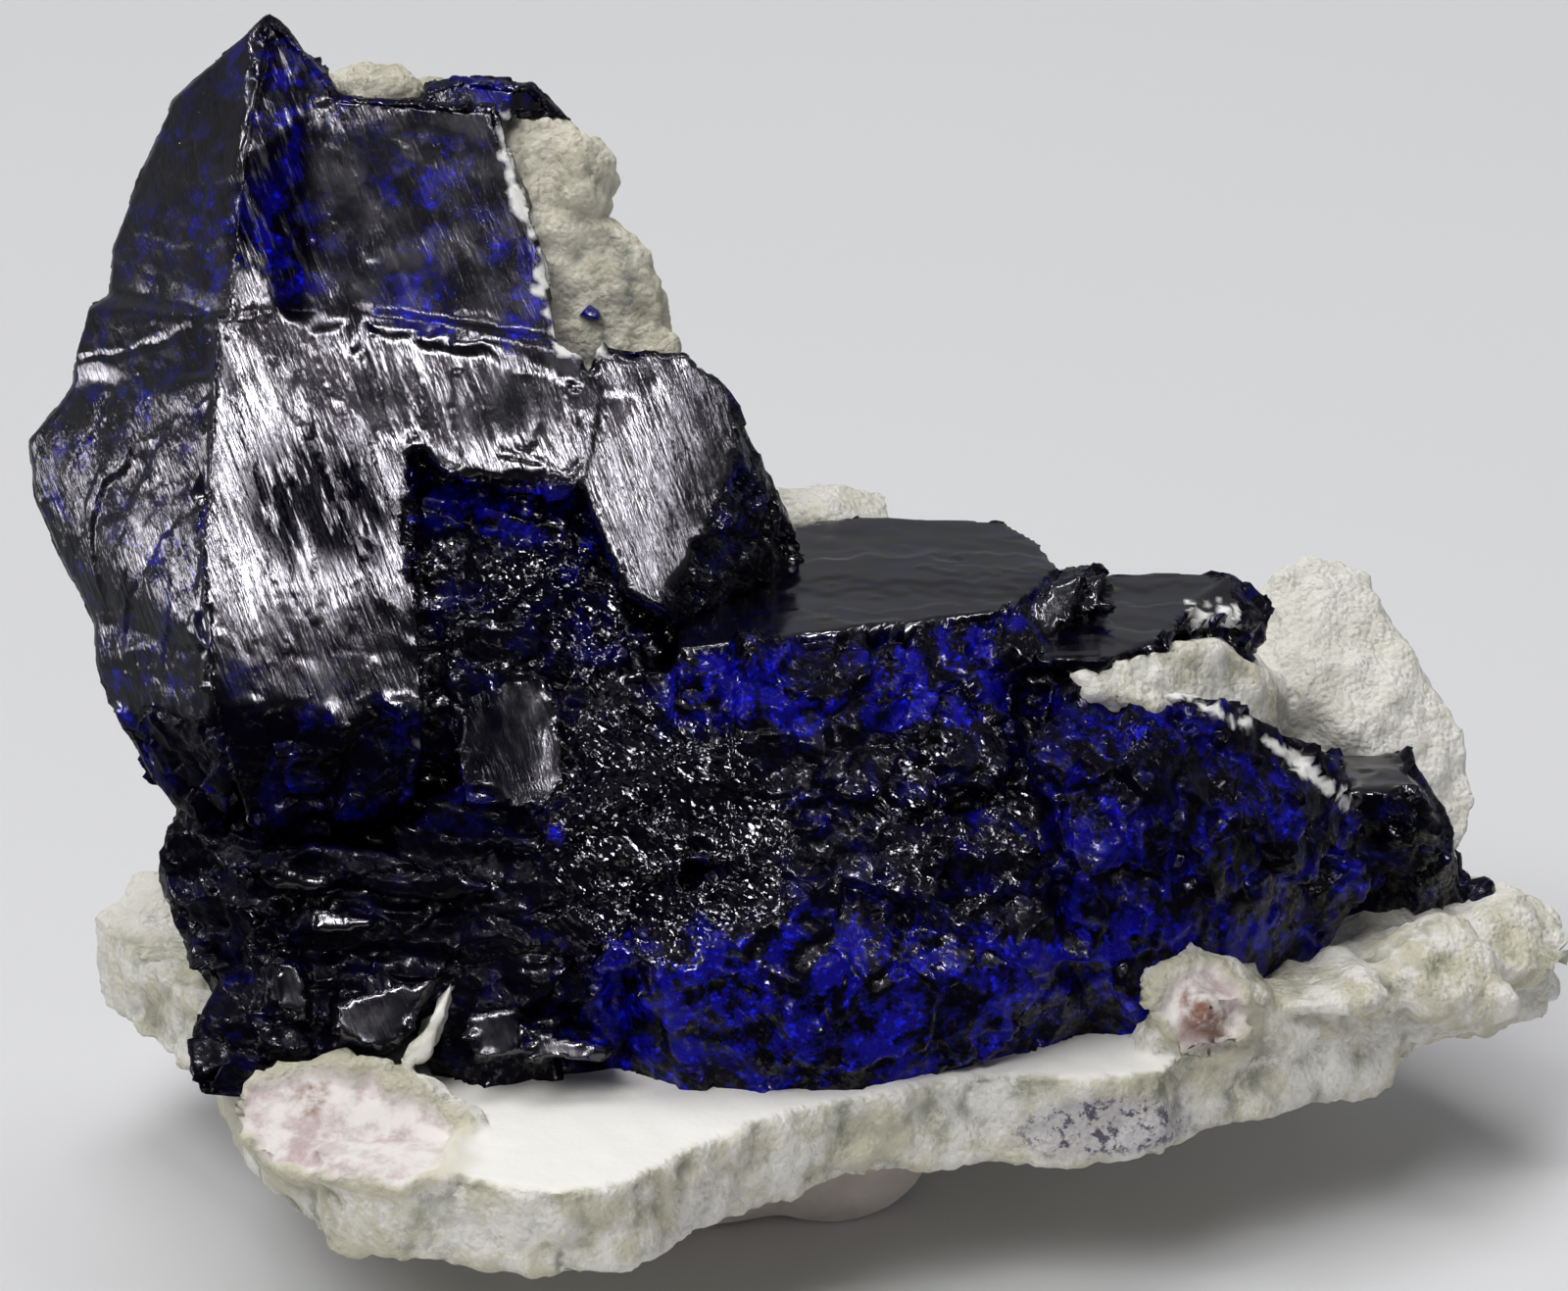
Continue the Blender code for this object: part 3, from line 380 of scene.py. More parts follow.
class Surface:
    """A piece's vertices, for moving them and for painting values on them."""

    def __init__(self, obj):
        self.mesh = obj.data
        self.count = len(self.mesh.vertices)
        self.read()

    def read(self):
        self.points = self.vectors("co")
        self.normals = self.vectors("normal")
        self.right, self.up, self.back = as_seen(self.points)
        self.facing = -(self.normals[:, 1] * TILT_COS - self.normals[:, 2] * TILT_SIN)

    def vectors(self, name):
        flat = np.empty(self.count * 3)
        self.mesh.vertices.foreach_get(name, flat)
        return flat.reshape(-1, 3)

    def move(self, height):
        """Moves each vertex out along its normal."""
        self.points = self.points + self.normals * height[:, None]
        self.write()

    def jostle(self, reach, wavelength, seed):
        """Moves the vertices about along the surface, which makes its edges uneven and leaves its faces flat.

        The reach is a number or one for each vertex."""
        offsets = np.stack([self.noise(wavelength, seed + axis) for axis in range(3)], axis=1)
        offsets -= self.normals * (offsets * self.normals).sum(axis=1)[:, None]
        self.points = self.points + np.broadcast_to(reach, self.count)[:, None] * offsets
        self.write()

    def write(self):
        self.mesh.vertices.foreach_set("co", self.points.ravel())
        self.mesh.update()
        self.read()

    def ragged(self, reach, wavelength):
        """Makes the outlines that are laid on the surface after this uneven by about this reach."""
        self.right = self.right + reach * self.noise(wavelength, 401)
        self.up = self.up + reach * self.noise(wavelength, 403)

    def noise(self, wavelength, seed=0.0, stretch=(1, 1, 1)):
        """Smooth noise from about -1 to 1."""
        scaled = self.points / (wavelength * np.array(stretch)) + seed
        return np.array([noise.noise(point) for point in scaled.tolist()])

    def streaks(self, across, along, seed=0.0):
        """Noise that is drawn out along a direction, from two coordinates in wavelengths."""
        pairs = zip(across.tolist(), along.tolist())
        return np.array([noise.noise((a, b, seed)) for a, b in pairs])

    def grains(self, size, seed=0.0, stretch=(1, 1, 1)):
        """Angular grains: each cell is a flat facet with a tilt of its own."""
        heights = np.empty(self.count)
        scaled = (self.points / (size * np.array(stretch)) + seed).tolist()
        for index, point in enumerate(scaled):
            centre = noise.voronoi(point)[1][0]
            tilt = noise.cell_vector(centre)
            heights[index] = sum((p - c) * (2 * t - 1) for p, c, t in zip(point, centre, tilt))
        return heights

    def granules(self, size, seed=0.0):
        """Rounded granules with creases between them, from about -0.4 to 0.5."""
        scaled = (self.points / size + seed).tolist()
        return np.array([0.5 - noise.voronoi(point)[0][0] for point in scaled])

    def distance(self, start, end):
        """How far each vertex is from the line between two (right, up) places."""
        (ax, ay), (bx, by) = start, end
        dx, dy = bx - ax, by - ay
        share = np.clip(((self.right - ax) * dx + (self.up - ay) * dy) / (dx * dx + dy * dy), 0, 1)
        return np.hypot(self.right - ax - share * dx, self.up - ay - share * dy)

    def region(self, corners, soft):
        """1 inside the outline of (right, up) corners, 0 outside, with an edge this soft."""
        inside = np.zeros(self.count, bool)
        nearest = np.full(self.count, np.inf)
        for start, end in zip(corners, corners[1:] + corners[:1]):
            nearest = np.minimum(nearest, self.distance(start, end))
            (ax, ay), (bx, by) = start, end
            if ay != by:
                level = (ay > self.up) != (by > self.up)
                inside ^= level & (self.right < (bx - ax) * (self.up - ay) / (by - ay) + ax)
        signed = np.where(inside, nearest, -nearest)
        return smooth((signed + soft / 2) / soft)

    def near_line(self, corners, width):
        """1 on the line through these (right, up) corners, 0 beyond its width."""
        away = [self.distance(start, end) for start, end in zip(corners, corners[1:])]
        return smooth(1 - np.minimum.reduce(away) / width)

    def paint(self, name, values):
        """Stores a value for each vertex, for the materials to read."""
        vector = values.ndim == 2
        layer = self.mesh.attributes.new(name, "FLOAT_VECTOR" if vector else "FLOAT", "POINT")
        flat = np.ascontiguousarray(values, np.float32).ravel()
        layer.data.foreach_set("vector" if vector else "value", flat)

    def split(self, values):
        """Gives the first material where these values are high, and the second elsewhere."""
        starts = np.empty(len(self.mesh.polygons), int)
        corners = np.empty(len(self.mesh.loops), int)
        self.mesh.polygons.foreach_get("loop_start", starts)
        self.mesh.loops.foreach_get("vertex_index", corners)
        first = values[corners[starts]] > 0.5
        self.mesh.polygons.foreach_set("material_index", np.where(first, 0, 1))


def smooth(share):
    share = np.clip(share, 0, 1)
    return share * share * (3 - 2 * share)


def between(values, low, high):
    return smooth((values - low) / (high - low))


def turned(right, up, degrees):
    """Coordinates across and along lines that run at this angle on the picture plane."""
    angle = math.radians(degrees)
    along = right * math.cos(angle) + up * math.sin(angle)
    across = -right * math.sin(angle) + up * math.cos(angle)
    return across, along


# The blocks of the crystals

def upright_crystal(blocks):
    """The tall crystal: overlapping plates whose front faces meet in a ridge that runs from the peak down."""
    blocks.plate([
        (-28.6, 34.6, -2), (-27.4, 34.0, -2), (-25.3, 31.5, -2), (-24.6, 30.3, -2.3), (-33.7, 30.0, 0.5),
        (-34.2, 28.0, 0.8), (-37.0, 22.0, 1.5), (-37.2, 19.0, 1.5), (-29.8, 27.0, -5), (-30.5, 19.0, -6.1),
        (-24.5, 21.0, -3.6), (-31.0, 14.0, -6.1),
    ], 8)
    blocks.plate([
        (-24.8, 30.4, -2.6), (-19.5, 29.9, -1.9), (-16.0, 29.8, -1.3), (-15.5, 28.0, -1.4),
        (-15.5, 25.5, -1.6), (-13.5, 22.3, -1.8), (-13.3, 19.0, -2.4), (-12.4, 16.0, -3),
        (-20.6, 12.0, -5), (-30.3, 17.0, -6.2), (-29.5, 27.0, -4.3),
    ], 3.5)
    blocks.plate([
        (-25.6, 30.0, 0), (-20.0, 29.4, 0), (-17.5, 25.0, 0), (-15.5, 19.0, 0), (-12.5, 12.0, 0),
        (-19.0, -4.0, -1), (-33.0, -4.0, -1), (-36.5, 10.0, 2.2), (-36.0, 19.0, 2), (-33.0, 28.0, 1),
    ], 7.5)
    blocks.plate([
        (-19.7, 30.9, -0.5), (-18.2, 31.4, 0), (-13.9, 31.1, 1), (-11.8, 28.9, 3), (-13.2, 29.4, 2),
        (-16.5, 29.2, -0.8), (-20.0, 29.4, -0.8),
    ], 5.5)
    blocks.plate([
        (-36.6, 19.6, 1), (-38.3, 18.6, 1.2), (-39.0, 16.2, 1.3), (-39.2, 14.0, 1.5), (-31.2, 18.0, -5.6),
        (-31.6, 13.0, -6.2),
    ], 7)
    blocks.plate([
        (-39.2, 14.3, 1.5), (-40.1, 13.0, 2), (-41.6, 11.3, 3), (-41.2, 8.0, 3), (-40.0, 5.2, 2.5),
        (-38.4, 2.6, 2), (-37.6, 0.6, 1.6), (-31.4, 15.0, -6.4), (-32.0, 0.0, -7.0),
    ], 9)
    blocks.plate([
        (-37.9, 1.2, 1.6), (-37.9, -1.0, 1.5), (-37.3, -2.6, 1.6), (-36.0, -4.6, 1.6), (-35.0, -7.0, 1.4),
        (-33.2, -9.1, 0.8), (-30.8, -10.6, -0.5), (-31.6, 1.6, -7.3), (-30.4, -5.5, -6.4),
    ], 8)
    blocks.plate([
        (-31.2, 18.0, -6.4), (-32.0, 8.0, -7.1), (-32.0, 3.0, -7.4), (-31.9, -0.5, -7.4), (-31.5, -3.4, -7.0),
        (-30.6, -6.0, -6.2), (-20.2, 3.5, -5.9), (-20.0, -0.5, -5.7), (-20.0, -3.6, -5.3),
        (-20.0, -6.2, -4.4), (-20.8, 11.0, -5.3), (-24.0, 19.0, -4.6), (-29.6, -9.0, -4.4),
        (-20.4, -8.4, -3.2), (-29.0, -10.9, -2.4), (-27.0, -11.3, -1.6), (-21.0, -9.6, -1.4),
    ], 9)
    blocks.plate([
        (-22.5, 12.0, -5.5), (-18.7, 9.4, -5.2), (-17.4, 8.8, -5.1), (-12.2, 8.2, -4.7), (-11.0, 9.2, -4.5),
        (-10.3, 13.0, -4), (-11.3, 15.8, -3.6), (-13.0, 17.0, -3.3), (-20.0, 18.0, -4.5),
        (-23.5, 18.6, -4.75),
    ], 5)
    blocks.plate([
        (-18.0, 12.0, -1), (-9.0, 12.0, -1), (-7.5, 6.0, 0), (-9.0, 0.0, 0), (-20.0, 0.0, -1),
    ], 10)
    blocks.seen_hull([
        (-11.3, 9.5, -4.4), (-11.4, 14.0, -3.7), (-10.1, 16.5, -3.1), (-8.9, 15.5, -3), (-6.0, 15.9, -2.5),
        (-5.3, 16.3, -2.3), (-3.3, 14.2, -1.4), (-2.5, 12.2, -1), (-2.2, 10.2, -1), (-5.4, 4.6, -3),
        (-7.3, 2.2, -4), (-8.4, 2.9, -4.3), (-9.8, 5.5, -4.5), (1.2, 5.3, 9), (1.1, 3.6, 10),
        (-0.6, 1.2, 8), (-4.8, -0.2, 3), (-1.7, 10.2, 9), (-3.2, 13.2, 9), (-8.5, 14.0, 8), (-10.0, 2.0, 6),
    ])


def hollow(blocks):
    """The hollow between the upright crystal and the low mass, where the crystal has broken away."""
    blocks.plate([
        (-20.6, 10.5, -0.5), (-12.5, 8.6, -0.8), (-10.8, 7.0, -0.8), (-8.6, 2.5, 0), (-6.5, 0.5, 1.5),
        (-4.5, -1.5, 1.5), (-6.0, -6.0, -2), (-12.0, -3.0, -2.2), (-18.6, -2.0, -3.5), (-19.8, 4.0, -3.5),
        (-22.0, -7.0, -2.4),
    ], 11)


def curved_break(blocks):
    """The smooth curved break and the rough wall beside it."""
    blocks.plate([
        (-17.8, -1.0, -2.4), (-14.0, -1.3, -3.0), (-12.6, -2.3, -3.5), (-11.8, -5.0, -4.3), (-12.0, -7.5, -5),
        (-14.0, -9.2, -5.4), (-17.5, -8.8, -5.0), (-18.8, -4.5, -3.8),
    ], 9)
    blocks.plate([
        (-13.0, -2.4, -2.5), (-6.0, -1.2, -3), (-5.0, -10.0, -5.4), (-6.5, -17.0, -5.8), (-12.0, -18.5, -4.6),
        (-18.5, -17.5, -3.6), (-21.5, -11.0, -2.6), (-12.0, -10.0, -5.2),
    ], 12)


def lower_left_crystals(blocks):
    """Small broken crystals under the upright crystal's overhang."""
    blocks.plate([
        (-33.2, -8.6, 2), (-34.3, -12.0, 2.5), (-33.9, -14.0, 2.5), (-33.0, -16.5, 2), (-31.2, -19.2, 1),
        (-30.0, -9.5, -0.5), (-29.0, -19.0, -1.5), (-28.5, -12.0, -1),
    ], 9)
    blocks.seen_hull([
        (-31.2, -18.2, 0), (-32.1, -20.5, -0.6), (-32.9, -21.6, -1), (-32.6, -23.2, -2), (-28.6, -22.7, -3.4),
        (-28.3, -18.5, -2.4), (-30.5, -18.0, 8), (-31.5, -21.5, 7), (-28.0, -20.0, 8),
    ], [seen_at_height(-32.2, -25.0, SLAB_TOP - 0.6), seen_at_height(-29.8, -25.1, SLAB_TOP - 0.6)])
    blocks.plate([
        (-29.6, -13.2, -1.4), (-29.2, -22.6, -3), (-25.0, -22.5, -3.6), (-21.8, -22.6, -3.6),
        (-20.3, -20.4, -4), (-18.2, -17.6, -4), (-18.0, -13.0, -3.2), (-24.0, -13.0, -3),
    ], 8)
    blocks.plate([
        (-26.1, -14.3, -4.3), (-22.4, -15.1, -4.6), (-24.0, -15.7, -4.5), (-26.2, -15.5, -4.3),
        (-29.0, -16.8, -3), (-20.0, -16.8, -3.6),
    ], 4)
    blocks.plate([
        (-32.6, -10.2, -0.5), (-22.0, -11.4, -4.4), (-16.0, -13.3, -5), (-18.5, -14.0, -4.8),
        (-25.0, -13.2, -4.2), (-30.5, -12.6, -2),
    ], 7)
    blocks.plate([
        (-24.5, -17.9, -4.2), (-18.6, -17.9, -4.6), (-21.9, -22.4, -4.4), (-25.0, -22.3, -4),
    ], 3)
    blocks.plate([
        (-28.4, -17.2, -3.4), (-26.8, -17.4, -3.8), (-26.2, -22.3, -4.2), (-28.8, -22.5, -3.8),
    ], 3)


def clean_facets(blocks):
    for outline, back, lean_right, lean_up in CLEAN_FACETS:
        blocks.facet(outline, back, lean_right, lean_up, CLEAN_FACET_THICKNESS)


def low_mass(blocks):
    """The low mass with its flat top, the shelf beside it and the rough wall that flares to the slab."""
    top = [(-6.0, -0.2), (-2.0, 0.8), (3.0, 0.95), (8.0, 1.35), (12.8, 2.1), (14.9, 4.3), (14.2, 5.6),
           (12.2, 6.9), (4.4, 7.1), (1.0, 6.4), (-5.0, 6.0)]
    blocks.hull([seen_at_height(right, up, LOW_TOP) for right, up in top] + [seen(*corner) for corner in [
        (-6.5, -6.0, -4.4), (0.0, -5.0, -4.8), (6.0, -4.5, -3.8), (10.0, -4.6, -2.2), (12.9, -3.5, 0),
        (13.7, -0.6, 1.2), (12.2, -7.0, -1), (8.0, -9.5, -3), (0.0, -12.0, -5.5), (-7.0, -12.0, -5),
        (16.0, -2.0, 20), (12.0, -2.0, 26), (-2.0, -2.0, 24),
    ]])
    blocks.hull([seen_at_height(*corner) for corner in [
        (12.7, 2.0, LOW_TOP - 0.2), (15.0, 4.2, LOW_TOP - 0.3), (17.6, 4.4, SHELF_TOP + 1.2),
        (14.2, -0.1, SHELF_TOP), (18.1, 3.1, SHELF_TOP), (12.0, -2.0, 32), (16.0, 2.0, 32), (14.0, 3.5, 36),
    ]])
    shelf = [(13.9, -0.9), (16.5, 3.4), (18.0, 3.9), (24.5, 4.0), (21.3, 0.5), (17.5, -0.9)]
    shelf_foot = [(15, -5), (21, -4), (22, -3), (17, -3)]
    blocks.hull([seen_at_height(right, up, SHELF_TOP) for right, up in shelf]
                + [seen_at_height(right, up, SHELF_TOP - 8) for right, up in shelf_foot])
    blocks.seen_hull([
        (20.0, 0.8, 6), (24.8, 4.1, 13), (25.8, 3.2, 13), (27.2, 2.4, 14), (27.2, 1.8, 13), (25.6, 1.3, 9),
        (24.5, 0.6, 9), (25.9, -0.9, 11.5), (26.2, -0.6, 13), (22.0, -1.5, 14), (20.0, -1.0, 11),
    ])
    blocks.seen_hull([
        (14.3, -1.6, 0.4), (16.2, -2.2, 0), (20.0, -3.1, 0.8), (24.3, -2.9, 2.5), (28.0, -4.9, 6),
        (31.2, -7.4, 9), (32.1, -9.5, 10.5), (31.8, -13.0, 12), (30.2, -15.8, 14), (13.5, -6.0, -1.6),
        (20.0, -8.0, -1.6), (26.0, -10.0, 2), (16.0, -14.0, -2.4), (22.0, -15.0, 1), (27.0, -15.5, 6),
        (24.0, -5.5, 14), (30.0, -9.0, 18), (18.0, -5.5, 12),
    ], [seen_at_height(right, up, SLAB_TOP - 1) for right, up in [
        (14.5, -21.8), (20.8, -22.6), (26.0, -19.2), (29.5, -18.3), (31.0, -15.0),
    ]])
    blocks.seen_hull([
        (-9.0, -15.0, -5), (-2.0, -12.0, -6), (6.0, -11.0, -5), (12.0, -9.0, -2.6), (15.0, -12.0, -2.6),
        (-6.5, -19.5, -5.6), (2.0, -19.0, -6), (8.0, -18.4, -4.6), (14.0, -17.6, -2.8),
        (0.0, -10.0, 10), (14.0, -10.0, 12), (-9.0, -10.0, 8),
    ], [seen_at_height(right, up, SLAB_TOP - 0.6) for right, up in [
        (-11.0, -22.2), (-9.0, -23.8), (-5.5, -24.9), (-2.0, -25.2), (5.0, -24.9), (7.0, -24.3),
        (8.5, -23.4), (12.0, -23.0), (12.4, -22.0), (15.0, -21.3), (18.0, -21.5),
    ]])
    blocks.seen_hull([
        (-18.2, -17.8, -3.6), (-20.1, -21.2, -2.8), (-12.0, -18.4, -4.6), (-17.0, -17.3, -4.2),
        (-10.0, -16.0, -5), (-16.0, -20.8, -3.9), (-14.0, -14.0, 6),
    ], [seen_at_height(right, up, SLAB_TOP - 0.4) for right, up in [
        (-20.1, -23.1), (-19.0, -23.9), (-17.3, -24.6), (-14.5, -24.4), (-9.0, -23.5), (-14.0, -19.0),
    ]])


def valley(blocks):
    """The sunken stretch between the low mass and the right-hand hummock."""
    blocks.seen_hull([
        (12.4, 1.4, 4), (15.0, -0.6, 4), (10.5, -3.5, 0.6), (16.5, -3.5, 1.2), (9.5, -10.0, -1.2),
        (17.5, -10.0, -0.2), (10.0, -17.5, -1.6), (17.0, -17.5, -1.0), (12.0, -2.0, 16), (18.0, -4.0, 16),
        (12.0, -16.0, 10), (18.0, -16.0, 10),
    ])


def wedge_crystal(blocks):
    """The small sharp-edged crystal at the right end."""
    blocks.hull([seen_at_height(right, up, WEDGE_TOP) for right, up in [
        (30.2, -5.95), (34.2, -5.9), (31.3, -8.1), (34.9, -8.0),
    ]] + [seen(36.2, -9.0, 19), seen(38.0, -14.8, 20), seen(30.0, -14.0, 21), seen(29.0, -10.0, 22)]
        + [seen_at_height(30.3, -17.0, SLAB_TOP - 1), seen_at_height(37.3, -16.4, SLAB_TOP - 1)])
    blocks.seen_hull([
        (37.0, -11.4, 21), (38.2, -12.8, 21.5), (39.0, -15.0, 21), (37.0, -15.4, 19.5), (35.5, -12.0, 18.5),
        (37.3, -12.5, 23), (38.2, -15.0, 23), (35.5, -14.0, 22),
    ])


def upright_rear(blocks):
    """The plain crystal behind the upright one."""
    blocks.measured_hull([
        (-33, 6, 14), (-20, 17, 12.5), (-14, 19, 13), (-17, 16, 40), (-26, 12, 44), (-33, 10, 34),
        (-20, 8, 40), (-30, 4, 30),
    ])


def low_rear(blocks):
    """The core that joins the crystals, and the plain crystals behind the low mass."""
    blocks.measured_hull([
        (-29, -3, 13), (-28, 11, 13), (-27, 10, 34), (-20, 3, 34), (10, 20, 12.5), (27, 18, 12.5),
        (24, 17, 26), (5, 20, 33), (-12, 15, 34), (15, 2, 13), (0, -4, 13),
    ])
    blocks.measured_hull([
        (-6, 12, 12.5), (-4, 22, 12.5), (9, 23, 12.5), (17, 22, 12.5), (12, 22, 31), (0, 20, 34),
        (-5, 16, 35), (14, 12, 30),
    ])
    blocks.measured_hull([
        (10, 8, 12.5), (12, 22, 12.5), (29, 19, 12.5), (27, 8, 12.5), (14, 22, 29), (25, 20, 27.5),
        (27, 14, 26), (16, 10, 30),
    ])
    blocks.measured_hull([
        (-13, 14, 12.5), (-9, 22, 12.5), (-4, 20, 12.5), (-10, 20, 30), (-5, 17, 36), (-12, 13, 36),
        (-2, 13, 34),
    ])


# The blocks of the matrix and the crust

def slab_blocks(blocks):
    """The slab of matrix, thick at its right, with its nodules and the lump that rises at the back."""
    blocks.prism(SLAB_OUTLINE, SLAB_BOTTOM, SLAB_TOP)
    blocks.prism(THICK_OUTLINE, SLAB_BOTTOM + 0.7, THICK_TOP)
    random = Random(REAR_SEED)
    for centre, radii in SLAB_LUMPS:
        blocks.chunk(at(*centre), radii, random)
    blocks.plate(RIGHT_NODULE, 6)
    blocks.plate(GAP_WEDGE, 3)
    left_nodule(blocks)
    rear_lumps(blocks)
    blocks.seen_hull([
        (26.6, 3.0, 24), (28.0, 4.6, 25), (29.6, 5.2, 26), (31.6, 3.8, 26), (32.2, -1.0, 24),
        (35.0, -1.6, 24), (36.6, -4.0, 24), (37.8, -6.4, 23), (38.2, -9.0, 22), (37.3, -11.8, 20),
        (29.0, -2.0, 19), (28.5, 4.0, 32), (32.0, 3.0, 33), (37.0, -8.0, 30), (22.0, 0.0, 30),
        (22.0, -14.0, 24),
    ], [at(24, 26, SLAB_TOP - 2), at(38, 24, SLAB_TOP - 2), at(30, 31, SLAB_TOP - 2)])
    blocks.seen_hull([
        (15.5, -1.4, -0.2), (18.4, -0.6, 1.0), (21.6, 0.2, 3.0), (23.8, 0.2, 5), (25.9, -1.2, 7.5),
        (26.3, -3.9, 7.5), (20.0, -3.4, 0.4), (16.6, -2.4, 0.0), (27.5, -3.0, 15), (25.6, -1.0, 15),
        (16.0, -8.0, 14), (27.0, -10.0, 18), (24.0, 0.0, 26), (28.0, -2.0, 26),
    ])
    blocks.measured_hull([
        (-12, 20, SLAB_TOP - 2), (24, 18, SLAB_TOP - 2), (24, 29, SLAB_TOP - 2), (-10, 29, SLAB_TOP - 2),
        (-9, 21, 26), (-3, 20, 33), (7, 20, 34.5), (14, 21, 31), (24, 21, 28.5), (18, 26, 23), (0, 26.5, 27),
        (5, 23.5, 33),
    ])
    for centre, radii in FAR_KNOBS:
        blocks.chunk(seen(*centre), radii, random)


def left_nodule(blocks):
    """The bulge at the front left, broken open in an oval that leans back."""
    middle_right, middle_up, middle_back = NODULE_FACE
    ring = []
    for corner in range(NODULE_CORNERS):
        angle = 2 * math.pi * corner / NODULE_CORNERS
        across = NODULE_HALF_WIDTH * math.cos(angle)
        rise = NODULE_HALF_HEIGHT * math.sin(angle) + NODULE_SKEW * across
        ring.append((middle_right + across, middle_up + rise, middle_back + NODULE_LEAN * rise))
    face = [seen(*corner) for corner in ring]
    bulge = [seen(right, up, back + NODULE_BULGE) - Vector((0, 0, NODULE_SAG)) for right, up, back in ring]
    foot = [(place.x, place.y + NODULE_FOOT_BACK, SLAB_BOTTOM + NODULE_FOOT_HEIGHT) for place in face]
    blocks.hull(face + bulge + foot)


def rear_lumps(blocks):
    """Uneven lumps over the back of the slab, where it was broken from the rock."""
    random = Random(REAR_SEED)
    for number in range(REAR_LUMPS):
        share = number / (REAR_LUMPS - 1)
        x = REAR_LEFT + REAR_WIDTH * share + random.uniform(-2, 2)
        y = REAR_BACK - REAR_END_CURVE * (2 * share - 1) ** 4 + random.uniform(-2.5, 1.5)
        rise = REAR_RISE * math.sin(math.pi * min(1.0, 0.15 + share)) ** 2
        z = random.uniform(SLAB_TOP - 2, SLAB_TOP + rise)
        radii = [random.uniform(*REAR_RADII) for _ in range(3)]
        blocks.chunk(at(x, y, z), radii, random)


def crust_back_lumps(blocks):
    """Uneven lumps over the back of the upper crust."""
    random = Random(CRUST_SEED)
    for number in range(CRUST_BACK_LUMPS):
        angle = number * GOLDEN_ANGLE
        reach = math.sqrt((number + 0.5) / CRUST_BACK_LUMPS)
        right = CRUST_BACK_MIDDLE[0] + CRUST_BACK_REACH[0] * reach * math.cos(angle)
        up = CRUST_BACK_MIDDLE[1] + CRUST_BACK_REACH[1] * reach * math.sin(angle)
        back = CRUST_BACK_DEPTH - CRUST_BACK_CURVE * reach
        radii = [random.uniform(*limits) for limits in (CRUST_BACK_WIDE, CRUST_BACK_DEEP, CRUST_BACK_WIDE)]
        blocks.chunk(seen(right, up, back), radii, random)


def crust_blocks(blocks):
    """The crust of matrix on the back of the upright crystal, which shows past its right and top edges."""
    for outline, thickness in CRUST_PATCHES:
        blocks.plate(outline, thickness)
    for centre, radii in CRUST_LUMPS:
        blocks.lump(seen(*centre), radii)
    crust_back_lumps(blocks)


# Outlines and lines on the picture plane, as (right, up)

# The ridge between the tall crystal's left facets and its front
RIDGE_UP = [-12, -6, 0, 8, 18, 19, 27, 34.6]
RIDGE_RIGHT = [-29.4, -30.6, -32.0, -32.0, -31.2, -30.5, -29.8, -28.6]
# The lower edge of the layer over the upper front, which falls to the right
LAYER_EDGE = [
    (-31.2, 21.6), (-29.3, 21.0), (-28.4, 19.2), (-27.0, 18.0), (-24.3, 17.4), (-23.8, 16.4), (-23.0, 17.6),
    (-20.0, 17.0), (-17.5, 16.6), (-13.0, 15.0), (-11.2, 14.4),
]
LAYER_FALL = 0.364
LAYER_EDGE_UP = 10.3
UPPER_LAYER = LAYER_EDGE + [(-9, 22), (-12, 33), (-24, 36), (-31, 33)]
MAIN_FACE = [
    (-31.4, 21.8), (-29.3, 21.0), (-28.3, 19.1), (-27.0, 17.9), (-24.3, 17.4), (-23.8, 16.4), (-23.0, 17.5),
    (-13.0, 15.4), (-10.4, 13.0), (-11.4, 9.4), (-17.3, 9.0), (-20.4, 11.5), (-20.9, 5.0), (-19.6, 0.0),
    (-20.0, -8.5), (-27.0, -11.4), (-30.6, -6.0), (-32.0, 0.0), (-32.0, 8.0),
]
POINT_FACE = [
    (-10.8, 16.6), (-8.9, 15.6), (-5.4, 16.4), (-3.2, 14.2), (-2.2, 11.0), (-5.2, 4.6), (-7.3, 2.0),
    (-8.6, 3.0), (-10.0, 5.6), (-11.6, 9.6), (-11.4, 14.0),
]
LEFT_LOBE = [
    (-41.6, 11.3), (-40.0, 13.2), (-36.0, 14.5), (-32.6, 14.0), (-32.6, 0.0), (-36.0, -2.0), (-38.6, 2.6),
    (-41.2, 8.0),
]
DARK_LENS = [
    (-30.0, 9.9), (-27.0, 11.9), (-23.0, 11.2), (-20.9, 7.2), (-22.4, 4.4), (-27.6, 4.2), (-30.1, 6.2),
]
RAISED_STREAK = [(-26.5, 14.4), (-25.2, 10.6), (-23.9, 6.7), (-22.3, 3.4), (-20.4, 0)]
RIGHT_CRACK = [(-15.5, 10.8), (-13.6, 10.0), (-12.0, 9.4), (-11.3, 10.2)]
LEFT_CRACK = [(-39.4, 15.7), (-36.4, 16.2), (-33.6, 17.2), (-32.0, 18.2)]
# A pit on the upper face that is not sunk, only painted black as shade
PAINTED_PIT_SHADE = [(-26.8, 22.4), (-24.8, 24.2), (-24.4, 23.6), (-25.4, 22.7)]
CRUST_EDGE = [(-15.2, 28.8), (-15.0, 25.4), (-13.0, 22.4), (-13.0, 19.6), (-12.0, 16.6), (-10.4, 16.2)]
HOLLOW_TOP = [(-20.4, 9.8), (-17.2, 8.9), (-11.0, 8.0), (-9.6, 5.2), (-14.0, 5.6), (-20.2, 7.0)]
HOLLOW_LEFT_EDGE = -20

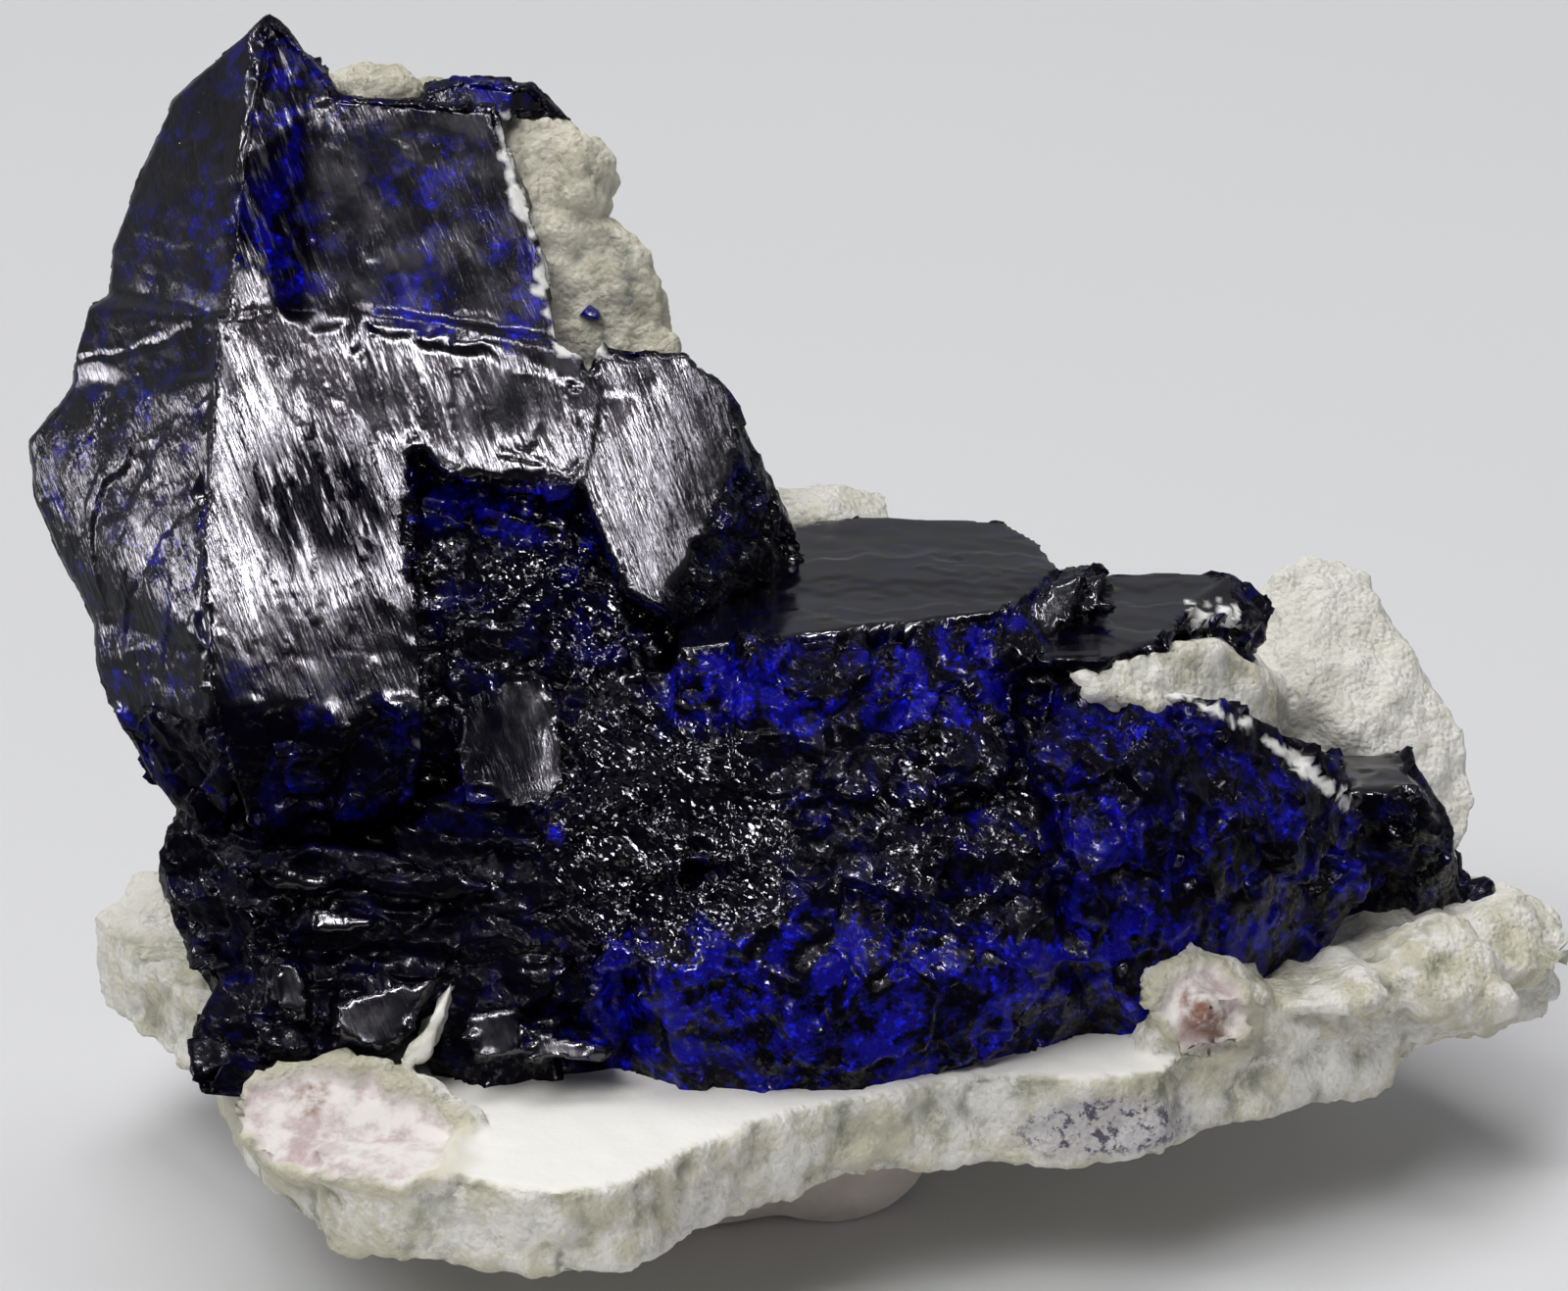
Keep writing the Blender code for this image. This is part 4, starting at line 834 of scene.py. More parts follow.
UNDER_TOP_BAND = [(-6, -0.6), (12.8, 1.6), (14.2, -0.6), (12.5, -4.4), (6, -3.6), (0, -4.4), (-7, -4.6)]
GLITTER_ZONE = [
    (-12.6, -4.0), (-7.0, -3.0), (-2.0, -5.6), (0.4, -9.0), (0.0, -15.4), (-6.0, -17.6), (-11.5, -17.0),
    (-13.0, -11.0),
]
CONCHOIDAL_FACE = [(-17.8, -1.0), (-13.0, -1.8), (-11.9, -5.0), (-12.4, -8.4), (-15.0, -9.0), (-18.4, -6.0)]
SKIRT_ZONE = [
    (-9, -16.5), (1, -14.6), (8, -16), (15, -15.6), (30, -16), (30, -22), (18, -24), (0, -26), (-12, -25),
]
SKIRT_FOLD = [(-7.5, -19.3), (-4.0, -17.0), (0.0, -15.0), (2.2, -13.4)]
BRIGHT_RIDGE = [(4.4, -7.8), (6.2, -9.0), (8.6, -8.2), (10.0, -12.0)]
HUMMOCK_ZONE = [(14, -3), (24, -2), (33, -8), (33, -20), (14, -18)]
BRIGHT_SPOT = [(-13.6, -10.0), (-11.8, -9.9), (-12.2, -11.0), (-13.5, -10.9)]
WHITE_PATCH = [(22.0, 2.6), (25.4, 2.6), (25.2, 0.9), (22.4, 0.8)]
WHITE_TRAIL = [(23.0, -3.0), (25.5, -4.4), (28.0, -6.2), (31.2, -8.6)]
WHITE_RIM = [(15.8, -1.5), (20.0, -2.8), (24.6, -2.7)]
# Clean facets among the broken crystals: outline, how far back, and how many degrees it leans right and up
CLEAN_FACETS = [
    ([(-26.0, -14.4), (-22.4, -15.2), (-24.0, -15.8), (-26.1, -15.6)], -5.6, 5, 4),
    ([(-28.4, -12.3), (-25.0, -12.9), (-25.2, -13.4), (-28.3, -13.0)], -5.4, 6, 5),
    ([(-28.2, -17.6), (-26.7, -17.2), (-26.0, -19.8), (-26.3, -20.4), (-27.9, -19.9)], -4.6, 13, -4),
    ([(-24.9, -19.6), (-21.0, -18.4), (-19.2, -18.6), (-20.8, -21.4), (-22.3, -22.3), (-24.6, -21.8)],
     -5.2, 14, -3),
    ([(-17.4, -20.2), (-14.6, -19.9), (-14.2, -22.6), (-17.0, -22.9)], -5.1, 15, -4),
    ([(-14.2, -21.0), (-9.4, -22.3), (-10.0, -23.0), (-14.0, -22.8)], -5.3, 11, 0),
    ([(-30.7, -4.4), (-29.4, -4.6), (-29.4, -5.3), (-30.6, -5.0)], -7.4, 5, 4),
    ([(-29.4, -5.9), (-27.9, -6.3), (-28.0, -7.0), (-29.2, -6.6)], -7.2, 5, 4),
    ([(13.3, 0.5), (14.7, 3.4), (16.6, 4.0), (15.8, 1.4)], 4.2, 12, 22),
    ([(16.2, 1.8), (16.9, 3.7), (17.9, 3.9), (17.4, 2.0)], 6.0, 16, 20),
]
CLEAN_FACET_THICKNESS = 4

# The colour patches of the matrix: middle, half size and lean
LEFT_OVAL = ((-24.2, -26.5), (6.0, 2.9), -12)
RIGHT_OVAL = ((23.2, -20.1), (2.5, 2.1), -40)
LILAC_OVAL = ((17.6, -26.6), (5.0, 1.7), 4)
BROWN_OVAL = ((-26.0, -24.9), (1.4, 1.1), 60)

# How far the surfaces are moved along themselves: reach, wavelength, seed
UPRIGHT_JOSTLES = [(0.35, 2.4, 411), (0.18, 1.1, 421)]
HOLLOW_EDGE_JOSTLE = (0.9, 3.2, 425)
LOW_JOSTLES = [(0.35, 2.4, 431), (0.12, 1.1, 441)]
# Relief in layers: height, size, seed, and a stretch where there is one
FACE_WAVE = (6.5, 19)
FACE_WAVE_HEIGHT = 0.16
UPPER_WAVE_LOSS = 0.10
TERRACE_HEIGHT = 0.07
MAIN_TERRACE_EXTRA = 0.05
LAYER_HEIGHT = 0.10
LAYER_LEAN = 0.05
STRIP_LEAN = 0.10
STRIP_MIDDLE = -28
STREAK_HEIGHT = 0.16
BEND_DEPTH = 0.1
CRACK_DEPTH = 0.12
LEFT_BREAK_HEIGHT = 0.07
LOBE_GRAINS = [(0.16, 2.6, 37, (1, 1, 2.2))]
UPRIGHT_GRAINS = [(1.3, 4.0, 43), (0.6, 1.7, 47), (0.15, 0.8, 49)]
RUBBLE = [(1.4, 4.4, 83), (0.55, 1.9, 85), (0.14, 0.9, 87)]
BLADES = [(1.3, 1.7, 99, (3.4, 1.4, 1)), (0.2, 0.9, 103, (2.5, 1, 1))]
CONCHOIDAL_DEPTH = 0.5
SKIRT_FOLD_HEIGHT = 0.5
BRIGHT_RIDGE_HEIGHT = 0.6
RIM_HEIGHT = 0.35
NODULE_DEPTH = 0.45


def layered(pattern, layers):
    """The sum of a pattern's layers."""
    return sum(height * pattern(*rest) for height, *rest in layers)


def stepped(values, steps):
    """The values in level steps, this many from 0 to 1."""
    return np.round(steps * values) / steps


def highest(*masks):
    return np.maximum.reduce(masks)


def paint_streaks(s):
    """Coordinates across and along the crystal's streaks, for the materials."""
    across, along = turned(s.right, s.up, STREAK_ANGLE)
    s.paint("streak", np.stack([across, along, s.back], axis=1))
    return across, along


# The pieces

def azurite_upright():
    """The tall crystal with its broken lower edge."""
    blocks = Blocks()
    upright_crystal(blocks)
    hollow(blocks)
    upright_rear(blocks)
    obj = blocks.fused("azurite_upright", UPRIGHT_VOXEL)
    s = Surface(obj)
    for jostle in UPRIGHT_JOSTLES:
        s.jostle(*jostle)
    reach, wavelength, seed = HOLLOW_EDGE_JOSTLE
    beside_hollow = between(1.6 - abs(s.right - HOLLOW_LEFT_EDGE), 0, 0.8) * between(13 - abs(s.up - 1), 0, 2)
    s.jostle(reach * beside_hollow, wavelength, seed)
    s.ragged(0.45, 1.3)

    # Where each face is, and where the front fades to broken ground at its foot
    across, along = turned(s.right, s.up, STREAK_ANGLE)
    ridge = np.interp(s.up, RIDGE_UP, RIDGE_RIGHT)
    front = between(s.facing, 0.2, 0.5)
    left = between(ridge - s.right, -0.2, 0.5) * between(s.facing, -0.1, 0.3)
    main = s.region(MAIN_FACE, 0.8) * front * (1 - left)
    point = s.region(POINT_FACE, 0.6) * front
    upper = s.region(UPPER_LAYER, 0.8) * between(s.facing, 0, 0.3) * (1 - left)
    strip = upper * between(-s.right, 25, 27)
    lobe = s.region(LEFT_LOBE, 1.2) * between(s.facing, 0.1, 0.4)
    low = between(-s.up, -2, 3)
    ground = between(-s.up + 0.8 * s.noise(2.5, 15), 2.6, 4.6)
    main, left = main * (1 - ground), left * (1 - ground)
    face = np.clip(main + point + upper + left, 0, 1)
    broken = 1 - face

    # Terraces and slight waves of the faces
    terraces = stepped(s.streaks(across / 3.1, along / 13, 3.0), 2.2)
    height = face * (TERRACE_HEIGHT + MAIN_TERRACE_EXTRA * main) * terraces
    height += 0.08 * main * between(-s.up, -4, 6) * s.streaks(across / 1.3, along / 7, 17.0)
    height += (FACE_WAVE_HEIGHT - UPPER_WAVE_LOSS * upper) * face * s.noise(*FACE_WAVE)
    height += 0.04 * face * s.noise(2.6, 21) + 0.14 * main * between(s.right, -22.5, -19) * s.noise(4.2, 25)
    # The upper layer stands out from the main face and leans back
    above_edge = s.up + LAYER_FALL * s.right - LAYER_EDGE_UP
    height += upper * (LAYER_HEIGHT - LAYER_LEAN * above_edge)
    height += STRIP_LEAN * strip * (s.right - STRIP_MIDDLE)
    # The bend of the main face, its raised streak and the cracks
    height -= BEND_DEPTH * main * np.clip(1 - abs(s.up + 0.5) / 3, 0, 1) ** 2
    height += STREAK_HEIGHT * s.near_line(RAISED_STREAK, 0.8) * main
    # The cracks are shallow grooves, and the black in them is painted shade
    crack_and_shade = highest(s.near_line(RIGHT_CRACK, 0.28), 0.7 * s.near_line(LEFT_CRACK, 0.25))
    height -= CRACK_DEPTH * crack_and_shade
    # The pit is not sunk: it is only a black spot of painted shade
    pit = s.region(PAINTED_PIT_SHADE, 0.25)
    # The left facets break along level lines
    height += LEFT_BREAK_HEIGHT * left * stepped(s.streaks(s.up / 2.6, s.right / 7, 23.0), 2.5)
    height += lobe * (0.05 * s.noise(1.7, 31) + layered(s.grains, LOBE_GRAINS))
    # Broken surfaces
    rough = broken * (0.3 + 0.7 * front) * (1 - 0.35 * ground)
    height += rough * (0.2 * s.noise(3.6, 41) + layered(s.grains, UPRIGHT_GRAINS))
    s.move(height)

    across, along = paint_streaks(s)
    patchy = between(s.noise(3.0, 53), -0.5, 0.4)
    groove = 0.8 * main * (1 - 0.3 * low) + 0.8 * point + left * (0.3 + 0.2 * patchy)
    groove += upper * (1 - 0.5 * strip) * (0.4 + 0.3 * patchy)
    s.paint("groove", np.clip(groove + 0.45 * lobe, 0, 1))
    hollow_top = s.region(HOLLOW_TOP, 1.5) * broken
    grain = broken * (0.3 + 0.7 * between(s.noise(4.5, 57), -0.3, 0.3)) * (1 - 0.6 * hollow_top)
    s.paint("grain", grain * (1 - 0.85 * ground))
    blue = 0.26 * upper + 0.04 * main + 0.20 * left + 0.16 * broken * (1 - 0.5 * ground)
    blue += 0.7 * hollow_top + 0.1 * (main * low + ground)
    s.paint("blue", np.clip(blue * (1 + 1.2 * s.noise(4.0, 61)), 0, 1))
    # Painted shade that dulls the mirrored light, but for bright dashes: most in the dark lens, the strip and
    # the broken ground, less on the upper layer and the main face's foot
    lens = s.region(DARK_LENS, 2.6) * main * between(s.streaks(across / 1.2, along / 9, 63.0), -0.6, -0.2)
    shade = lens + 0.75 * strip + 0.35 * upper + 0.35 * main * low + 0.85 * ground * broken
    s.paint("shade", np.clip(shade, 0, 1))
    coat = s.near_line(CRUST_EDGE, 1.7) * between(s.facing, 0, 0.3)
    s.paint("coat", between(coat + 0.6 * s.noise(0.8, 65) + 0.4 * s.noise(1.9, 67), 0.65, 0.85))
    # Painted shade: the cracks and the pit are painted black
    s.paint("crack_and_shade", highest(crack_and_shade, pit))
    s.split(face)
    return obj


def azurite_low():
    """The low mass, the small crystals around it and the plain crystals behind."""
    blocks = Blocks()
    curved_break(blocks)
    lower_left_crystals(blocks)
    clean_facets(blocks)
    low_mass(blocks)
    valley(blocks)
    wedge_crystal(blocks)
    low_rear(blocks)
    obj = blocks.fused("azurite_low", LOW_VOXEL)
    s = Surface(obj)
    on_shelf = between(s.points[:, 2], SHELF_TOP - 0.8, SHELF_TOP - 0.2)
    on_wedge = between(0.4 - abs(s.points[:, 2] - WEDGE_TOP), 0, 0.2)
    level = between(s.normals[:, 2], 0.88, 0.96) * highest(on_shelf, on_wedge)
    for jostle in LOW_JOSTLES:
        s.jostle(*jostle)
    s.ragged(0.5, 1.3)

    # Where each kind of surface is
    clean = s.region(CONCHOIDAL_FACE, 1.0) * between(s.facing, 0.4, 0.7)
    for outline, *_ in CLEAN_FACETS:
        clean = highest(clean, s.region(outline, 0.3) * between(s.facing, 0.5, 0.8))
    glitter = s.region(GLITTER_ZONE, 3.0) * between(s.facing, 0, 0.4)
    in_front = between(s.facing, 0, 0.3)
    skirt = s.region(SKIRT_ZONE, 2.5) * in_front
    band = s.region(UNDER_TOP_BAND, 1.6) * in_front * (1 - level)
    hummock = s.region(HUMMOCK_ZONE, 2.5) * in_front
    lower_left = between(-s.right, 12, 16) * between(-s.up, 6, 10)
    broken = np.clip(1 - level - clean, 0, 1)
    calm = 1 - 0.5 * skirt - 0.3 * hummock - 0.5 * lower_left

    # Thin layers on the flat tops, and the broken surfaces
    wavy = s.up + 0.3 * s.noise(5.0, 71)
    layers = stepped(s.streaks(wavy / 1.7, s.right / 16, 77.0), 2.4)
    fine_layers = 0.06 * s.streaks(wavy / 0.8, s.right / 14, 73.0)
    height = level * (0.16 * layers + fine_layers + 0.04 * s.noise(2.0, 75))
    height -= CONCHOIDAL_DEPTH * s.region(CONCHOIDAL_FACE, 5.0)
    rough = broken * (0.35 + 0.65 * between(s.facing, 0.1, 0.5))
    rubble = (1 - lower_left) * calm * layered(s.grains, RUBBLE)
    blades = lower_left * layered(s.grains, BLADES)
    height += rough * (rubble + blades + calm * 0.5 * s.noise(5.0, 81))
    height += SKIRT_FOLD_HEIGHT * s.near_line(SKIRT_FOLD, 1.2)
    ridge = s.near_line(BRIGHT_RIDGE, 1.6)
    height += BRIGHT_RIDGE_HEIGHT * ridge
    s.move(height)

    paint_streaks(s)
    s.paint("groove", 0.35 * clean)
    # Painted shade that dulls the mirrored light, but for bright specks: most on the left of the curved
    # break, less on the broken surfaces, none in the glitter
    curved = s.region(CONCHOIDAL_FACE, 1.5) * between(-s.right, 12.6, 16)
    shade = 0.9 * curved + broken * (0.45 * hummock + 0.3 * band + 0.2)
    s.paint("shade", np.clip(shade, 0, 1) * (1 - glitter))
    grain = broken * (0.10 + 0.36 * between(s.noise(5.0, 89), -0.2, 0.4))
    grain = grain * (1 - 0.6 * highest(lower_left, hummock))
    grain = highest(grain, broken * highest(glitter, 0.9 * ridge))
    s.paint("grain", grain * (1 - 0.4 * skirt) * (1 - 0.5 * band))
    blue = 0.16 * broken * (1 - 0.8 * glitter) * (1 - 0.3 * lower_left)
    blue = highest(blue + 0.6 * band + 0.6 * skirt + 0.16 * hummock, 0.9 * s.region(BRIGHT_SPOT, 0.8))
    s.paint("blue", np.clip(blue * (1 + 1.1 * s.noise(3.4, 91)) * (1 - clean) + 0.09 * level, 0, 1))
    coat = highest(s.region(WHITE_PATCH, 0.8), s.near_line(WHITE_TRAIL, 1.1), s.near_line(WHITE_RIM, 0.5))
    s.paint("coat", between(coat + 0.7 * s.noise(0.7, 95) + 0.4 * s.noise(1.6, 97), 0.80, 1.0))
    s.paint("crack_and_shade", np.zeros(s.count))
    s.split(np.clip(level + clean, 0, 1))
    return obj


def crust_crystal():
    """A tiny crystal on the upper crust."""
    blocks = Blocks()
    blocks.chunk(seen(*CRUST_CRYSTAL), CRUST_CRYSTAL_RADII, Random(CRUST_SEED))
    obj = new_object("azurite_speck", blocks.bm)
    s = Surface(obj)
    s.paint("blue", np.full(s.count, 0.9))
    return obj


def stone_surface(obj, seed, coarse, fine, level):
    """Lumps and crumbs of broken clayey matrix, less where the surface is level."""
    s = Surface(obj)
    s.jostle(0.4, 2.6, seed + 13)
    lumps = s.noise(5.5, seed) + 0.6 * s.noise(2.4, seed + 3)
    crumbs = s.granules(2.3, seed + 5) + 0.6 * s.granules(1.0, seed + 7)
    rough = 1 - 0.88 * level(s)
    s.move(rough * (coarse * lumps + fine * crumbs) + 0.05 * s.noise(1.4, seed + 11))
    stained = 1 - 0.75 * between(s.back, 15, 21)
    s.paint("stained", stained)
    s.paint("pit", stained * rough * between(-(lumps * 0.35 + crumbs), -0.1, 0.55))
    return s


def slab_top(s):
    """1 on the chalky top of the slab, in front of the crystals."""
    in_front = between(-s.points[:, 1], 6, 8)
    return between(s.normals[:, 2], 0.7, 0.9) * in_front * between(SLAB_TOP + 0.8 - s.points[:, 2], 0, 0.5)


def oval(s, middle, half_size, lean):
    """0 in the middle of this oval on the picture plane, 1 on its edge."""
    across, along = turned(s.right - middle[0], s.up - middle[1], lean)
    return np.hypot(along / half_size[0], across / half_size[1])


def matrix_slab():
    """The slab, with the rims and hollowed faces of its two nodules."""
    blocks = Blocks()
    slab_blocks(blocks)
    obj = blocks.fused("matrix_slab_stone", SLAB_VOXEL)
    s = Surface(obj)
    s.ragged(0.4, 1.5)
    front = between(s.facing, 0.15, 0.45)
    left_oval = oval(s, *LEFT_OVAL) + 0.12 * s.noise(2.2, 121)
    right_oval = oval(s, *RIGHT_OVAL) + 0.12 * s.noise(1.5, 123)
    inside = highest(between(1.05 - left_oval, 0, 0.12), between(1.05 - right_oval, 0, 0.15)) * front
    rim = highest(between(1.32 - left_oval, 0, 0.2), between(1.45 - right_oval, 0, 0.2)) * front
    rim = rim * (1 - inside)
    s.move(RIM_HEIGHT * rim - NODULE_DEPTH * inside)
    gap = s.region([(right, up) for right, up, _ in GAP_WEDGE], 0.6) * front
    s = stone_surface(obj, 101, 0.6, 0.62, lambda s: highest(slab_top(s), 0.75 * inside, gap))
    s.paint("top", highest(slab_top(s), gap))
    s.paint("nodule", inside)
    s.paint("rim", rim)
    s.paint("lilac", between(1.2 - oval(s, *LILAC_OVAL), 0, 0.5) * front)
    stain = highest(between(1 - right_oval, 0, 0.5), between(1 - oval(s, *BROWN_OVAL), 0, 0.6))
    s.paint("stain", stain * front)
    return obj


def upper_crust():
    blocks = Blocks()
    crust_blocks(blocks)
    obj = blocks.fused("upper_crust_stone", CRUST_VOXEL)
    stone_surface(obj, 201, 0.6, 0.75, lambda s: np.zeros(s.count))
    return obj


def putty_pad():
    """The pad, pressed flat where it stands."""
    blocks = Blocks()
    blocks.lump(at(*PAD_CENTRE, PAD_MIDDLE_HEIGHT), PAD_HALF_SIZE)
    blocks.lump(at(*PAD_BULGE), PAD_BULGE_HALF_SIZE)
    obj = blocks.fused("putty_pad_soft", PAD_VOXEL)
    s = Surface(obj)
    s.move(0.35 * s.noise(7.0, 301) + 0.06 * s.noise(1.6, 303))
    points = s.points.copy()
    points[:, 2] = np.maximum(points[:, 2], 0)
    s.points = points
    s.write()
    return obj


# Materials

AZURITE_BLACK = (0.0010, 0.0006, 0.0035)
AZURITE_DEEP = (0.003, 0.0015, 0.20)
AZURITE_BRIGHT = (0.006, 0.014, 0.80)
COAT_WHITE = (0.80, 0.79, 0.76)
# Painted shade that makes the cracks and the pit black
CRACK_SHADE_BLACK = (0.0005, 0.0005, 0.001)
# Pale clay, its stains and its pits
MATRIX_COLOURS = ((0.88, 0.86, 0.79), (0.66, 0.63, 0.48), (0.25, 0.26, 0.19))
CRUST_COLOURS = ((0.84, 0.80, 0.66), (0.60, 0.57, 0.44), (0.14, 0.16, 0.15))
TOP_WHITE = (0.84, 0.82, 0.78)
RIM_CREAM = (0.60, 0.57, 0.42)
NODULE_COLOURS = ((0.74, 0.70, 0.67), (0.47, 0.37, 0.37))
LILAC_GREY = (0.55, 0.53, 0.56)
LILAC_SPECKS = (0.10, 0.09, 0.13)
BROWN_STAIN = (0.20, 0.09, 0.05)
PUTTY_COLOURS = ((0.56, 0.49, 0.43), (0.66, 0.60, 0.53))
FLOOR_COLOURS = ((0.66, 0.66, 0.675), (0.68, 0.68, 0.695))
AZURITE_IOR = 1.73
BROKEN_IOR = 1.5
CLAY_IOR = 1.45
CLAY_ROUGHNESS = 0.85
# The share of its gloss that a fully shaded place loses
SHADED_LOSS = 0.985
# How the broken crystal's grain slants
GRAIN_SLANT = math.radians(-38)


class Material:
    """A procedural material, built from nodes."""

    def __init__(self, name, **uniform):
        self.material = bpy.data.materials.new(name)
        self.material.use_nodes = True
        self.nodes = self.material.node_tree.nodes
        self.links = self.material.node_tree.links
        self.shader = self.nodes["Principled BSDF"]
        for socket, value in uniform.items():
            self.shader.inputs[socket.replace("_", " ")].default_value = value

    def node(self, kind, inputs=None, **settings):
        made = self.nodes.new(kind)
        for setting, value in settings.items():
            setattr(made, setting, value)
        for socket, value in (inputs or {}).items():
            self.join(value, made.inputs[socket])
        return made

    def join(self, value, socket):
        if isinstance(value, bpy.types.NodeSocket):
            self.links.new(value, socket)
        else:
            socket.default_value = value

    def attribute(self, name, output="Fac"):
        return self.node("ShaderNodeAttribute", attribute_name=name).outputs[output]

    def place(self):
        """The place on the object, in millimetres."""
        spot = self.node("ShaderNodeTexCoord").outputs["Object"]
        return self.stretched(spot, (1 / MM,) * 3)

    def vectors(self, operation, first, second=(0, 0, 0)):
        return self.node("ShaderNodeVectorMath", {0: first, 1: second}, operation=operation).outputs[0]

    def stretched(self, vector, scale):
        return self.vectors("MULTIPLY", vector, scale)

    def noise(self, vector, scale, detail=3, roughness=0.55):
        return self.node("ShaderNodeTexNoise", {
            "Vector": vector, "Scale": scale, "Detail": detail, "Roughness": roughness,
        }).outputs["Fac"]

    def voronoi(self, vector, scale, output="Color"):
        return self.node("ShaderNodeTexVoronoi", {"Vector": vector, "Scale": scale}).outputs[output]

    def math(self, operation, first, second=0.0, clamp=False):
        made = self.node("ShaderNodeMath", {0: first, 1: second}, operation=operation, use_clamp=clamp)
        return made.outputs[0]

    def times(self, first, second):
        return self.math("MULTIPLY", first, second)

    def range(self, value, low, high, to_low=0.0, to_high=1.0):
        return self.node("ShaderNodeMapRange", {
            "Value": value, "From Min": low, "From Max": high, "To Min": to_low, "To Max": to_high,
        }, interpolation_type="SMOOTHSTEP").outputs["Result"]

    def mix(self, share, first, second):
        made = self.node("ShaderNodeMix", data_type="RGBA")
        self.join(share, made.inputs["Factor"])
        for value, socket in ((first, made.inputs[6]), (second, made.inputs[7])):
            self.join((*value, 1) if isinstance(value, tuple) else value, socket)
        return made.outputs[2]

    def unshaded(self, bright):
        """The share of light that is mirrored: all of it, but in shaded places only in the bright spots."""
        lost = self.times(self.attribute("shade"), self.math("SUBTRACT", 1.0, bright))
        return self.math("SUBTRACT", 1.0, self.times(lost, SHADED_LOSS))

    def grooves(self, vector, half_width):
        """0 in thin lines that wind through the noise, 1 on the level between them."""
        away = self.math("ABSOLUTE", self.math("SUBTRACT", self.noise(vector, 1.0, 3, 0.5), 0.5))
        return self.range(away, 0, half_width)

    def bump(self, height, distance, normal=None):
        inputs = {"Height": height, "Distance": distance * MM}
        if normal is not None:
            inputs["Normal"] = normal
        return self.node("ShaderNodeBump", inputs).outputs["Normal"]

    def facets(self, vector, scale, strength, normal):
        """Turns the normal another way in each small cell, as the facets of a broken crystal do."""
        tilt = self.vectors("SUBTRACT", self.voronoi(vector, scale), (0.5, 0.5, 0.5))
        tilt = self.node("ShaderNodeVectorMath", {0: tilt, "Scale": strength}, operation="SCALE").outputs[0]
        return self.vectors("NORMALIZE", self.vectors("ADD", normal, tilt))

    def finish(self, colour, roughness, normal):
        self.join(colour, self.shader.inputs["Base Color"])
        self.join(roughness, self.shader.inputs["Roughness"])
        self.join(normal, self.shader.inputs["Normal"])
        return self.material


def azurite_colour(m, place):
    """Black to deep blue, with bright blue specks, white coating, and black cracks and a black pit, which are
    painted shade.
    """
    blue, coat, crack_and_shade = m.attribute("blue"), m.attribute("coat"), m.attribute("crack_and_shade")
    speckle = m.noise(place, 0.55, 7, 0.72)
    amount = m.times(blue, m.range(speckle, 0.42, 0.66, 0.0, 2.0))
    colour = m.mix(m.range(amount, 0.02, 0.9), AZURITE_BLACK, AZURITE_DEEP)
    bright = m.times(m.range(m.noise(place, 1.7, 4, 0.65), 0.54, 0.68), m.range(amount, 0.15, 0.8))
    colour = m.mix(bright, colour, AZURITE_BRIGHT)
    colour = m.mix(coat, colour, COAT_WHITE)
    return m.mix(crack_and_shade, colour, CRACK_SHADE_BLACK), m.times(coat, 0.7)


def face_material():
    """The crystal's faces: glossy, with grooves of three widths along them."""
    m = Material("azurite_faces", IOR=AZURITE_IOR)
    place = m.place()
    colour, dull = azurite_colour(m, place)
    streak = m.attribute("streak", "Vector")
    dashes = m.range(m.noise(m.stretched(streak, (2.4, 0.35, 1.2)), 1.0, 4), 0.52, 0.68)
    m.join(m.unshaded(dashes), m.shader.inputs["Specular Tint"])
    groove = m.attribute("groove")
    gloss = m.range(m.noise(streak, 0.5, 3), 0.35, 0.7, 0.15, 0.26)
    roughness = m.math("ADD", gloss, dull, clamp=True)
    wide = m.grooves(m.stretched(streak, (0.9, 0.06, 0.5)), 0.05)
    middle = m.grooves(m.stretched(streak, (2.6, 0.20, 1.2)), 0.07)
    narrow = m.grooves(m.stretched(streak, (6.5, 0.60, 2.5)), 0.10)
    grooves = m.math("ADD", m.times(wide, 0.020), m.times(middle, 0.013))
    grooves = m.math("ADD", grooves, m.times(narrow, 0.007))
    normal = m.bump(m.times(grooves, groove), 1.0)
    normal = m.facets(m.stretched(streak, (1.8, 0.14, 0.9)), 1.0, m.times(groove, 0.06), normal)
    normal = m.facets(m.stretched(streak, (6.0, 0.45, 2.4)), 1.0, m.times(groove, 0.08), normal)
    return m.finish(colour, roughness, normal)


def broken_material():
    """Where the crystal is broken: glossy specks among duller ones, each turned its own way."""
    m = Material("azurite_broken", IOR=BROKEN_IOR)
    place = m.place()
    colour, dull = azurite_colour(m, place)
    grain = m.attribute("grain")
    shine = m.math("ADD", m.noise(place, 2.0, 3, 0.6), m.times(grain, 0.22))
    roughness = m.math("ADD", m.range(shine, 0.52, 0.70, 0.34, 0.08), dull, clamp=True)
    sparks = m.range(m.noise(place, 1.1, 4, 0.6), 0.52, 0.66)
    lit = m.times(m.range(shine, 0.52, 0.70, 0.12, 1.0), m.unshaded(sparks))
    m.join(lit, m.shader.inputs["Specular Tint"])
    slanted = m.node("ShaderNodeVectorRotate", {"Vector": place, "Axis": (0, 1, 0), "Angle": GRAIN_SLANT})
    slanted = m.stretched(slanted.outputs[0], (0.45, 1, 1.3))
    normal = m.bump(m.noise(place, 3.0, 4, 0.6), 0.02)
    normal = m.facets(slanted, 1.5, m.math("ADD", m.times(grain, 0.45), 0.1), normal)
    normal = m.facets(slanted, 4.2, m.math("ADD", m.times(grain, 0.55), 0.1), normal)
    return m.finish(colour, roughness, normal)


